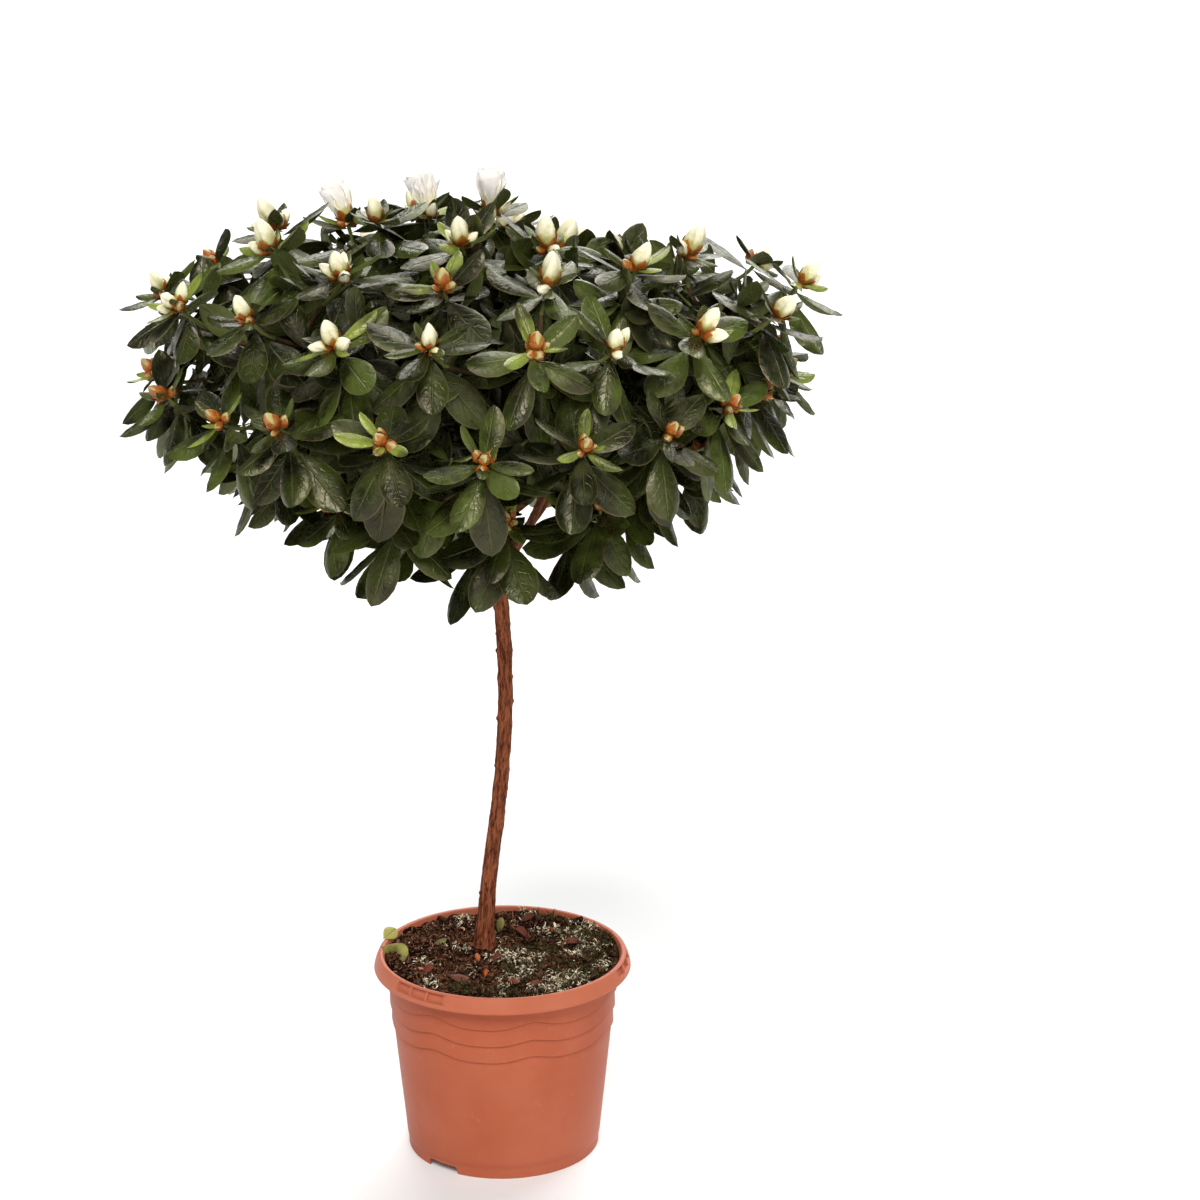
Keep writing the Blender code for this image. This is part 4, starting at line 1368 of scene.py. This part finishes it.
def leaf_meshes(name, forms=LEAF_FORMS):
    """Leaves that differ in how they droop, bend and roll their edges."""
    found = []
    for number, (droop, bend, cup) in enumerate(forms):
        found.append(
            blade_mesh(
                f"{name}_{number}",
                LEAF_ROWS,
                LEAF_COLUMNS,
                widest=0.57,
                fullness=0.64,
                stalk=0.06,
                droop=droop,
                bend=bend,
                cup=cup,
                groove=0.05,
                pucker=0.0045,
            )
        )
    return found


def bud_radius(along):
    """Half a bud's width at a share of its length: full low down, and drawn to a blunt point."""
    if along < 0.4:
        return 0.5 * math.sin(math.pi / 2 * along / 0.4) ** 0.62
    return 0.5 * max(0.0, 1 - ((along - 0.4) / 0.6) ** 2.1) ** 0.78


def bud_mesh(name, petals=3, twist=1.5, step=0.22, rows=10):
    """A bud 1 long along +Y and 1 wide, of petals wrapped over each other, with a UV map on each."""
    shape = bmesh.new()
    uv = shape.loops.layers.uv.new("UVMap")
    within = (0.0, 0.3, 0.62, 0.93)
    rings = []
    for k in range(1, rows):
        along = k / rows
        ring = []
        for petal in range(petals):
            for share in within:
                turn = math.tau * (petal + share) / petals + twist * along
                out = bud_radius(along) * (1 - step + step * share * 1.4)
                place = (out * math.cos(turn), along, out * math.sin(turn))
                ring.append((shape.verts.new(place), along, share))
        rings.append(ring)
    foot, tip = shape.verts.new((0, 0, 0)), shape.verts.new((0, 1, 0))
    count = len(rings[0])
    level = {foot: (0.5, 0.0), tip: (0.5, 1.0)}
    level.update({vertex: (share, along) for ring in rings for vertex, along, share in ring})
    for j in range(count):
        after = (j + 1) % count
        shape.faces.new((foot, rings[0][j][0], rings[0][after][0]))
        shape.faces.new((tip, rings[-1][after][0], rings[-1][j][0]))
        for low, high in zip(rings, rings[1:]):
            shape.faces.new((low[j][0], high[j][0], high[after][0], low[after][0]))
    bmesh.ops.recalc_face_normals(shape, faces=shape.faces)
    return mapped_mesh(shape, name, uv, level)


# Each ring of scales: how many, how far up the bud, half the spread in degrees, and how far off the bud.
LOW_SCALES = ((4, 0.30, 50, 0.16), (4, 0.50, 38, 0.09))
FULL_SCALES = ((4, 0.42, 66, 0.20), (4, 0.76, 66, 0.13), (3, 0.99, 68, 0.07))


def sheath_mesh(name, rings):
    """The pointed scales round a bud 1 long along +Y and 1 wide, in rings, with a UV map on each."""
    shape = bmesh.new()
    uv = shape.loops.layers.uv.new("UVMap")
    places = {}
    for number, (count, top, spread, off) in enumerate(rings):
        for k in range(count):
            middle = math.tau * (k + 0.37 * number) / count
            reach = top * (1 - 0.16 * (k % 2))
            grid = []
            for row in range(6):
                share = row / 5
                along = reach * share
                half = math.radians(spread) * (1 - share**2.2) ** 0.7 if row < 5 else 0.0
                stand = off * (0.35 + 0.65 * share**2)
                line = []
                for across in (-1, -0.5, 0, 0.5, 1) if row < 5 else (0,):
                    turn = middle + half * across
                    out = bud_radius(max(0.04, along)) + stand * (1 - 0.25 * across**2)
                    vertex = shape.verts.new((out * math.cos(turn), along, out * math.sin(turn)))
                    places[vertex] = (0.5 + 0.5 * across, share)
                    line.append(vertex)
                grid.append(line)
            for low, high in zip(grid, grid[1:]):
                for j in range(4):
                    if len(high) == 1:
                        shape.faces.new((low[j], high[0], low[j + 1]))
                    else:
                        shape.faces.new((low[j], high[j], high[j + 1], low[j + 1]))
    return mapped_mesh(shape, name, uv, places)


def petal_meshes(name):
    """Petals with frilled edges."""
    rows = (0.0, 0.16, 0.34, 0.52, 0.68, 0.82, 0.93, 1.0)
    forms = ((0.02, 0.55, 0.0), (-0.12, 0.75, 1.6), (0.08, 0.60, 3.1))
    return [
        blade_mesh(
            f"{name}_{k}", rows, (-1, -0.66, -0.33, 0, 0.33, 0.66, 1), widest=0.70, fullness=0.42,
            narrow=0.1, droop=droop, cup=cup, ruffle=0.08, waves=15, phase=phase,
        )
        for k, (droop, cup, phase) in enumerate(forms)
    ]


def touches_trunk(root, way, length):
    """Whether a leaf would run into the trunk."""
    for share in (0.3, 0.6, 0.9):
        place = root + way * length * share
        height = (place.z - TRUNK_FOOT.z) / (TRUNK_TOP.z - TRUNK_FOOT.z)
        if 0 < height < 1:
            middle = trunk_point(height)
            if math.hypot(place.x - middle.x, place.y - middle.y) < trunk_radius(height) + 0.004:
                return True
    return False


def whorl(shoot, settings, count, young, scale=1.0):
    """A shoot's leaves as (full grown, placed): small upright ones at its bud, then larger ones that hang."""
    chance = shoot.chance
    across = shoot.axis.orthogonal().normalized()
    found = []
    for k in range(young + count):
        grown = k >= young
        age = (k - young) / max(1, count - 1) if grown else k / max(1, young - 1)
        if grown:
            lean = mix(LEAF_LEANS, age) + chance.uniform(-14, 14)
            pull = mix(LEAF_PULLS, age) + chance.uniform(-0.14, 0.14)
            size = mix(LEAF_SIZES, age**0.7) + chance.uniform(-0.09, 0.07)
            width = settings.width * size * chance.uniform(0.86, 1.10)
            root = shoot.tip - shoot.axis * (0.003 + WHORL_DEPTH * scale * age)
        else:
            lean = mix(YOUNG_LEANS[::-1], age) + chance.uniform(-8, 8)
            pull = 0.0
            size = mix(YOUNG_SIZES[::-1], age) + chance.uniform(-0.05, 0.05)
            width = settings.width * size * chance.uniform(0.62, 0.78)
            root = shoot.tip - shoot.axis * 0.002
        swing = shoot.turn + k * GOLDEN_ANGLE + chance.uniform(-0.34, 0.34)
        around = Matrix.Rotation(swing, 3, shoot.axis) @ across
        lean = math.radians(lean)
        way = shoot.axis * math.cos(lean) + around * math.sin(lean)
        way = (way - UP * pull).normalized()
        face = shoot.axis * 0.7 + UP * 0.5
        length = settings.length * size * scale
        roll = math.radians(chance.uniform(-27, 27))
        pick = chance.randrange(5)
        if grown and touches_trunk(root, way, length):
            continue
        found.append((grown, Placed(root, way, face, length, width * scale, pick, roll)))
    return found


def leaf_material(name, colour, settings, gloss=0.0):
    """A leathery leaf: sunk veins, light and dark shades, a dull, dusty grey coat in places that is also
    painted sheen, and a paler underside.
    """
    made, tree, shader = new_material(name, settings.roughness, 0.47)
    shader.inputs["Specular Tint"].default_value = (1.0, 0.90, 0.62, 1.0)
    own = add_node(tree, "ShaderNodeUVMap", uv_map="UVMap").outputs[0]
    split = add_node(tree, "ShaderNodeSeparateXYZ", {0: own}).outputs
    place = object_place(tree)
    edge = maths(tree, "MULTIPLY", maths(tree, "ABSOLUTE", maths(tree, "SUBTRACT", split[0], 0.5)), 2.0)
    midrib = ramp(tree, edge, 0.01, 0.085, 1.0, 0.0)
    stray = maths(tree, "MULTIPLY", clouds(tree, place, 85, 2), 2.4)
    along, across = maths(tree, "MULTIPLY", split[1], 6.5), maths(tree, "MULTIPLY", edge, 1.9)
    slant = maths(tree, "ADD", maths(tree, "SUBTRACT", along, across), stray)
    away = maths(tree, "ABSOLUTE", maths(tree, "SUBTRACT", maths(tree, "FRACT", slant), 0.5))
    side = maths(tree, "MULTIPLY", ramp(tree, away, 0.38, 0.49), ramp(tree, edge, 0.45, 0.95, 1.0, 0.0))
    shade = ramp(tree, clouds(tree, place, 33, 3, 0.55), 0.38, 0.62)
    dark = tuple(0.34 * part for part in colour)
    light = tuple(2.30 * part for part in colour)
    tone = blended(tree, shade, dark, light)
    # A dull grey coat in patches: partly dusty, partly painted sheen where glossy leaves catch the light.
    film_and_sheen = ramp(tree, clouds(tree, place, 24, 4, 0.55), 0.51, 0.66, 0.0, 0.34)
    film_and_sheen = maths(tree, "MULTIPLY", film_and_sheen, ramp(tree, clouds(tree, place, 190, 4, 0.6), 0.35, 0.6, 0.35, 1.0))
    tone = blended(tree, film_and_sheen, tone, settings.dust_and_sheen)
    lines = maths(tree, "ADD", maths(tree, "MULTIPLY", midrib, 0.30), maths(tree, "MULTIPLY", side, 0.03))
    tone = blended(tree, lines, tone, settings.vein)
    tone = blended(tree, ramp(tree, edge, 0.90, 0.98, 0.0, 0.45), tone, settings.rim)
    turned = add_node(tree, "ShaderNodeNewGeometry").outputs["Backfacing"]
    tone = blended(tree, turned, tone, settings.under)
    sunk = maths(tree, "ADD", midrib, maths(tree, "MULTIPLY", side, 0.3))
    pores = maths(tree, "MULTIPLY", clouds(tree, place, 420, 3), 0.5)
    skin = maths(tree, "ADD", pores, clouds(tree, place, 150, 2))
    low, high = settings.roughness + gloss - 0.14, settings.roughness + gloss + 0.18
    matt = ramp(tree, clouds(tree, place, 90, 4, 0.7), 0.32, 0.68, low, high)
    tree.links.new(matt, shader.inputs["Roughness"])
    wear(tree, shader, tone, maths(tree, "SUBTRACT", skin, sunk), 0.0007, 0.72)
    return made


def petal_material(name, tip, foot, roughness, low=0.05, high=0.6, streaks=0.0, sides=0.0):
    """A finish that runs from one colour at the foot to another at the tip, and at the sides where asked."""
    made, tree, shader = new_material(name, roughness, 0.4)
    own = add_node(tree, "ShaderNodeUVMap", uv_map="UVMap").outputs[0]
    split = add_node(tree, "ShaderNodeSeparateXYZ", {0: own}).outputs
    place = object_place(tree)
    mottle = maths(tree, "MULTIPLY", maths(tree, "SUBTRACT", clouds(tree, place, 230, 3), 0.5), 0.9)
    along = maths(tree, "ADD", split[1], mottle)
    if sides:
        edge = maths(tree, "ABSOLUTE", maths(tree, "SUBTRACT", split[0], 0.5))
        along = maths(tree, "ADD", along, maths(tree, "MULTIPLY", edge, 2 * sides))
    share = ramp(tree, along, low, high)
    tone = blended(tree, share, foot, tip)
    height = clouds(tree, place, 500, 3)
    if streaks:
        lines = add_node(tree, "ShaderNodeTexWave", {"Vector": own, "Scale": 7.0, "Distortion": 2.0})
        dark = maths(tree, "MULTIPLY", lines.outputs["Fac"], streaks)
        tone = blended(tree, dark, tone, tuple(0.4 * part for part in foot))
    wear(tree, shader, tone, height, 0.0003, 0.5)
    return made


def sheathed(foot, way, side, length, width, full):
    """A bud in its scales, as (kind, placed)."""
    form = int(length * 1e5) % 3
    return [
        ("tight" if full else "bud", Placed(foot, way, side, length, width, form, depth=width)),
        ("sheath", Placed(foot, way, side, length, width, int(full), depth=width)),
    ]


def bud_cluster(spray, settings):
    """A shoot's bud with its scales and the smaller buds round its foot, as (kind, placed)."""
    chance = spray.chance
    axis, tip = spray.axis, spray.tip
    across = axis.orthogonal().normalized()
    cream = spray.ripeness > CREAM_FROM
    brown = not cream and spray.ripeness > BROWN_FROM
    ripe = (spray.ripeness - CREAM_FROM) / (1 - CREAM_FROM)
    size = mix((0.62, 1.0), ripe) if cream else (0.56 if brown else 0.40)
    size *= chance.uniform(0.84, 1.10)

    def about(turn, lean):
        side = Matrix.Rotation(turn, 3, axis) @ across
        return (axis * math.cos(lean) + side * math.sin(lean)).normalized(), side

    length, width = settings.length * size, settings.width * size ** 0.8 * chance.uniform(0.86, 1.04)
    turn = spray.turn
    way, side = about(turn, math.radians(chance.uniform(2, 14)))
    found = bloom(spray, settings) if spray.opens else []
    found += sheathed(tip - axis * length * BUD_SUNK, way, side, length, width, not cream)
    for _ in range(chance.randint(1, 3) if cream else chance.randint(2, 4)):
        turn += GOLDEN_ANGLE
        way, side = about(turn, math.radians(chance.uniform(40, 64)))
        small = settings.length * chance.uniform(0.28, 0.42)
        root = tip + side * 0.0016 - axis * 0.0025
        half_ripe = cream and chance.random() < HALF_RIPE_SHARE
        longer, wider = HALF_RIPE_SIZE if half_ripe else UNRIPE_SIZE
        found += sheathed(root, way, side, small * longer, small * wider, not half_ripe)
    return found


def bloom(spray, settings):
    """A half-open bloom: two rings of frilled petals round a bud."""
    chance = spray.chance
    axis = spray.axis
    across = axis.orthogonal().normalized()
    foot = spray.tip - axis * 0.002
    found = []
    for ring, count, lean, reach in ((0, 4, 3, 1.04), (1, 4, 9, 1.16), (2, 5, 19, 1.04)):
        for k in range(count):
            turn = spray.turn + math.tau * (k + 0.5 * (ring % 2)) / count + chance.uniform(-0.2, 0.2)
            side = Matrix.Rotation(turn, 3, axis) @ across
            angle = math.radians(lean + chance.uniform(-5, 5))
            way = axis * math.cos(angle) + side * math.sin(angle)
            length = settings.length * reach * chance.uniform(0.9, 1.08)
            found.append(("petal", Placed(foot + side * 0.003, way, side, length, length * 0.66, k + ring)))
    return found


# ---------------------------------------------------------------- operators


class AZALEA_OT_stage(bpy.types.Operator):
    """Makes the floor, the lamps, the light from all round and the camera"""

    bl_idname = "azalea.stage"
    bl_label = "Stage"

    def execute(self, context):
        settings = context.scene.azalea_stage
        shape = bmesh.new()
        bmesh.ops.create_grid(shape, x_segments=8, y_segments=8, size=FLOOR_REACH)
        floor = new_object("floor", mesh_from(shape, "floor"))
        made, tree, shader = new_material("floor paint", 0.8, 0.2)
        tone = clouds(tree, object_place(tree), 0.4, 2)
        light = tuple(settings.floor)
        wear(tree, shader, blended(tree, tone, light, tuple(0.98 * part for part in light)))
        # The floor glows though it is no lamp: painted light that lights the plant from below and lifts the
        # shadows on the floor.
        shader.inputs["Emission Color"].default_value = (1, 1, 1, 1)
        shader.inputs["Emission Strength"].default_value = settings.glow
        floor.data.materials.append(made)
        world = bpy.data.worlds.new("studio")
        context.scene.world = world
        world.use_nodes = True
        tree = world.node_tree
        sky = tree.nodes["Background"]
        sky.inputs["Color"].default_value = (1, 1, 1, 1)
        way = add_node(tree, "ShaderNodeTexCoord").outputs["Generated"]
        up = add_node(tree, "ShaderNodeSeparateXYZ", {0: way}).outputs[2]
        # White at the horizon, so that the floor has no edge, and dimmer above it.
        tree.links.new(ramp(tree, up, 0.0, HORIZON_HEIGHT, 1.0, settings.sky), sky.inputs["Strength"])
        # Each lamp: name, height and compass angle it shines from, softness in degrees, and strength.
        for name, height, compass, softness, power in (
            ("key_sun", 50, -97, 30, settings.key),
            ("fill_sun", 22, -62, 60, settings.fill),
            ("back_sun", 44, 78, 60, settings.back),
        ):
            lamp = bpy.data.lights.new(name, "SUN")
            lamp.angle = math.radians(softness)
            lamp.energy = power
            made = new_object(name, lamp)
            made.rotation_euler = (math.radians(90 - height), 0, math.radians(compass + 90))
        camera = bpy.data.cameras.new("camera")
        camera.lens = CAMERA_LENS
        camera.sensor_width = 36
        camera.clip_start = 0.01
        made = new_object("camera", camera)
        made.location = CAMERA_PLACE
        made.rotation_euler = (math.pi / 2 - CAMERA_PITCH, 0, 0)
        context.scene.camera = made
        context.scene.view_settings.view_transform = "Standard"
        return {"FINISHED"}


class AZALEA_OT_pot(bpy.types.Operator):
    """Makes the moulded pot with its waves, rolled rim, grip cells, drain holes and foot notches"""

    bl_idname = "azalea.pot"
    bl_label = "Pot"

    def execute(self, context):
        settings = context.scene.azalea_pot
        mesh = revolved("moulded_pot", pot_columns(), lambda angle: pot_rows(angle, settings))
        pot = new_object("moulded_pot", mesh)
        held = pot_cutters()
        cut = pot.modifiers.new("cut", "BOOLEAN")
        cut.operation = "DIFFERENCE"
        cut.operand_type = "COLLECTION"
        cut.collection = held
        cut.solver = "EXACT"
        settle(pot)
        clear_shapes(held)
        smooth_from(pot.data, 32)
        pot.data.materials.clear()
        pot.data.materials.append(plastic_material(settings))
        finish_piece(pot, "pot", "pot")
        return {"FINISHED"}


class AZALEA_OT_soil(bpy.types.Operator):
    """Makes the soil and what lies on it: crumbs, bark chips, moss, lichen, grit and fallen leaves"""

    bl_idname = "azalea.soil"
    bl_label = "Soil"

    def execute(self, context):
        settings = context.scene.azalea_soil
        columns = [math.tau * k / SOIL_COLUMNS for k in range(SOIL_COLUMNS)]
        soil = new_object("soil_surface", revolved("soil_surface", columns, soil_columns))
        soil.data.shade_smooth()
        soil.data.materials.append(earth_material(settings))
        crumbs = [crumb_mesh(f"crumb_{k}", k, 0.8) for k in range(4)]
        chips = [crumb_mesh(f"chip_{k}", k + 9, 0.16) for k in range(4)]
        mosses = [tuft_mesh(f"moss_{k}", k, 14, 1.2, 0.15) for k in range(4)]
        frizz = [tuft_mesh(f"frizz_{k}", k + 20, 17, 3.4, 0.135, 5) for k in range(4)]
        strands = [tuft_mesh(f"strand_{k}", k + 40, 2, 1.6, 0.16, 4) for k in range(4)]
        peat, fibre = tuple(settings.peat), tuple(settings.fibre)
        dark = tuple(0.15 * part for part in peat)
        pieces = [soil]
        moss, lichen = tuple(settings.moss), tuple(settings.lichen)
        earthy = speckled_material("crumbs", fibre, dark, 260, 0.9, 0.47, 0.63)
        woody = speckled_material("chips", (0.17, 0.066, 0.035), peat, 240, 0.8)
        mossy = speckled_material("moss", moss, (0.010, 0.008, 0.003), 330, 0.9)
        pale = speckled_material("lichen", lichen, (0.045, 0.030, 0.014), 420, 0.85, 0.42, 0.62)
        straw = speckled_material("fibres", (0.40, 0.21, 0.13), (0.07, 0.026, 0.012), 300, 0.8)
        stony = speckled_material("grit", (0.75, 0.72, 0.64), (0.40, 0.36, 0.28), 500, 0.7)
        # Each kind: name, shapes, finish, where it lies, spacing, smallest, largest and tilt.
        strewn = (
            ("soil_crumbs", crumbs, earthy, "crumbs", settings.crumb_spacing, 0.0008, 0.0031, 3.0),
            ("bark_chips", chips, woody, "chips", 0.0046, 0.0026, 0.0078, 0.5),
            ("moss", mosses, mossy, "moss", settings.tuft_spacing, 0.0028, 0.0062, 0.6),
            ("lichen", frizz, pale, "lichen", settings.tuft_spacing * 1.7, 0.0050, 0.0098, 0.8),
            ("fibres", strands, straw, "chips", 0.0052, 0.0030, 0.0068, 0.9),
            ("grit", crumbs, stony, "grit", 0.0125, 0.0008, 0.0018, 3.0),
        )
        for seed, (name, meshes, material, where, spacing, smallest, largest, tilt) in enumerate(strewn):
            pieces.append(
                strew(name, soil, meshes, material, where=where, spacing=spacing, smallest=smallest,
                      largest=largest, tilt=tilt, seed=seed + 3)
            )
        leaves, dry = leaf_meshes("leaf"), leaf_meshes("dry", DRY_FORMS)
        leafage = context.scene.azalea_leaf
        orange = petal_material("withered", (0.42, 0.095, 0.018), (0.20, 0.040, 0.012), 0.6)
        brown = petal_material("dead leaf", (0.15, 0.033, 0.014), (0.05, 0.012, 0.006), 0.7)
        green = leaf_material("fallen leaf", (0.165, 0.150, 0.034), leafage, 0.16)
        for name, rows, material, lift in (
            ("withered_leaves", WITHERED, orange, 0.0006),
            ("brown_leaves", BROWN_LEAVES, brown, 0.0008),
            ("fallen_leaves", GREEN_LEAVES, green, 0.001),
        ):
            placed = []
            for number, (x, y, turn, length, rise) in enumerate(rows):
                turn, rise = math.radians(turn), math.radians(rise)
                flat = Vector((math.cos(turn), math.sin(turn), 0))
                way = flat * math.cos(rise) + UP * math.sin(rise)
                on_rim = math.hypot(x, y) > SOIL_RADIUS
                height = POT_HEIGHT if on_rim else crumbly_height(x, y)
                root = Vector((x, y, height + lift))
                face = UP - flat * 0.2 - Vector((0, 1.4 if on_rim else 0.3, 0))
                broad = length * (0.72 if on_rim else 0.5)
                placed.append(Placed(root, way, face, length, broad, number + 1, 0.1))
            pieces.append(set_out(name, placed, leaves if rows is GREEN_LEAVES else dry, material))
        for piece in pieces:
            finish_piece(piece, "soil", "soil")
        return {"FINISHED"}


class AZALEA_OT_limbs(bpy.types.Operator):
    """Grows the trunk and boughs with their ridged bark, the woody twigs and the green shoots"""

    bl_idname = "azalea.limbs"
    bl_label = "Limbs"

    def execute(self, context):
        settings = context.scene.azalea_bark
        bark = bark_material("bark", tuple(settings.ridge), tuple(settings.furrow), 1500, 0.0008)
        trunk = grow_limbs("trunk_bark", [trunk_limb()], bark, 48, settings.relief, 420, 0.16)
        limbs = [(bough.points, bough.radii()) for bough in GROWTH.boughs]
        young = bark_material("bough bark", tuple(settings.bough), tuple(settings.furrow), 1500, 0.0008)
        boughs = grow_limbs("bough_bark", limbs, young, 14, settings.relief, 480, 0.2)
        furrow = tuple(0.45 * part for part in settings.twig)
        wood = bark_material("twig bark", tuple(settings.twig), furrow, 1100, 0.0003)
        twigs = grow_limbs("twigs", GROWTH.twigs, wood, 7, 0.35, 500, 0.3)
        furrow = tuple(0.55 * part for part in settings.shoot)
        green = bark_material("shoot skin", tuple(settings.shoot), furrow, 900, 0.0002)
        shoots = grow_limbs("shoots", GROWTH.shoots, green, 6, 0.25, 500, 0.4)
        finish_piece(trunk, "bark", "trunk")
        finish_piece(boughs, "bark", *[name for name in LIMBS if name != "trunk"])
        finish_piece(twigs, "bark", *MASSES)
        finish_piece(shoots, "foliage", *MASSES)
        return {"FINISHED"}


class AZALEA_OT_leaves(bpy.types.Operator):
    """Sets the leaves out in whorls round every shoot"""

    bl_idname = "azalea.leaves"
    bl_label = "Leaves"

    def execute(self, context):
        settings = context.scene.azalea_leaf
        kinds = {"deep": [], "middle": [], "fresh": []}
        for spray in GROWTH.sprays:
            shade = "middle" if spray.number % 3 == 1 or spray.young else "deep"
            scale = SHORT_SIZE if spray.number in SHORT_SPRAYS else 1.0
            for grown, placed in whorl(spray, settings, settings.mature, settings.young, scale):
                tender = "fresh" if spray.young or spray.number % 2 else "middle"
                kinds[shade if grown else tender].append(placed)
        for shoot in GROWTH.side_shoots:
            shade = "middle" if shoot.number % 4 == 1 else "deep"
            for _, placed in whorl(shoot, settings, settings.mature - 2, 2, 0.84):
                kinds[shade].append(placed)
        colours = {
            "deep": (tuple(settings.deep), 0.0),
            "middle": (tuple(settings.middle), -0.03),
            "fresh": (tuple(settings.fresh), -0.06),
        }
        for kind, placed in kinds.items():
            colour, gloss = colours[kind]
            material = leaf_material(f"{kind} leaf", colour, settings, gloss)
            piece = set_out(f"{kind}_leaves", placed, leaf_meshes("leaf"), material)
            finish_piece(piece, "foliage", *MASSES)
        return {"FINISHED"}


class AZALEA_OT_buds(bpy.types.Operator):
    """Sets the buds, their scales and the opening blooms on the shoots"""

    bl_idname = "azalea.buds"
    bl_label = "Buds and blooms"

    def execute(self, context):
        settings = context.scene.azalea_bud
        kinds = {"bud": [], "tight": [], "sheath": [], "petal": []}
        for spray in GROWTH.sprays:
            for kind, placed in bud_cluster(spray, settings):
                kinds[kind].append(placed)
        cream, base = tuple(settings.cream), tuple(settings.base)
        scale, tip = tuple(settings.scale), tuple(settings.scale_tip)
        sheaths = [sheath_mesh("low_scales", LOW_SCALES), sheath_mesh("full_scales", FULL_SCALES)]
        forms = [bud_mesh("bud_0"), bud_mesh("bud_1", 4, 0.9, 0.18), bud_mesh("bud_2", 3, -1.1, 0.26)]
        open_petal = petal_material("bloom", tuple(settings.bloom), (0.88, 0.80, 0.45), 0.5, 0.15, 0.70)
        open_petal.node_tree.nodes["Principled BSDF"].inputs["Sheen Weight"].default_value = 0.6
        ripe_petal = petal_material("bud petals", cream, base, 0.42, 0.16, 0.82, 0.20)
        tight_petal = petal_material("tight bud", tuple(settings.tight), base, 0.45, 0.2, 0.9, 0.2)
        husk = petal_material("bud scales", tip, scale, 0.40, 0.70, 1.46, 0.45, 0.5)
        made = (
            ("buds", "bud", forms, ripe_petal),
            ("tight_buds", "tight", forms, tight_petal),
            ("bud_scales", "sheath", sheaths, husk),
            ("bloom_petals", "petal", petal_meshes("petal"), open_petal),
        )
        for name, kind, meshes, material in made:
            finish_piece(set_out(name, kinds[kind], meshes, material), "foliage", *MASSES)
        return {"FINISHED"}


class AZALEA_PT_panel(bpy.types.Panel):
    """Lists the pieces of the plant in the order in which they are made"""

    bl_idname = "AZALEA_PT_panel"
    bl_label = "Azalea standard"
    bl_space_type = "VIEW_3D"
    bl_region_type = "UI"
    bl_category = "Azalea"

    def draw(self, context):
        for group, operator in (
            (context.scene.azalea_stage, AZALEA_OT_stage),
            (context.scene.azalea_pot, AZALEA_OT_pot),
            (context.scene.azalea_soil, AZALEA_OT_soil),
            (context.scene.azalea_bark, AZALEA_OT_limbs),
            (context.scene.azalea_leaf, AZALEA_OT_leaves),
            (context.scene.azalea_bud, AZALEA_OT_buds),
        ):
            box = self.layout.box()
            box.operator(operator.bl_idname)
            for name in type(group).__annotations__:
                box.prop(group, name)


SETTINGS = {
    "azalea_stage": StageSettings,
    "azalea_pot": PotSettings,
    "azalea_soil": SoilSettings,
    "azalea_bark": BarkSettings,
    "azalea_leaf": LeafSettings,
    "azalea_bud": BudSettings,
}
OPERATORS = (
    AZALEA_OT_stage,
    AZALEA_OT_pot,
    AZALEA_OT_soil,
    AZALEA_OT_limbs,
    AZALEA_OT_leaves,
    AZALEA_OT_buds,
)


def register():
    for made in (*SETTINGS.values(), *OPERATORS, AZALEA_PT_panel):
        bpy.utils.register_class(made)
    for name, group in SETTINGS.items():
        setattr(bpy.types.Scene, name, PointerProperty(type=group))


def unregister():
    for name in SETTINGS:
        delattr(bpy.types.Scene, name)
    for made in (AZALEA_PT_panel, *OPERATORS[::-1], *list(SETTINGS.values())[::-1]):
        bpy.utils.unregister_class(made)


def main():
    register()
    bpy.ops.azalea.stage()
    bpy.ops.azalea.pot()
    bpy.ops.azalea.soil()
    bpy.ops.azalea.limbs()
    bpy.ops.azalea.leaves()
    bpy.ops.azalea.buds()


if __name__ == "__main__":
    main()
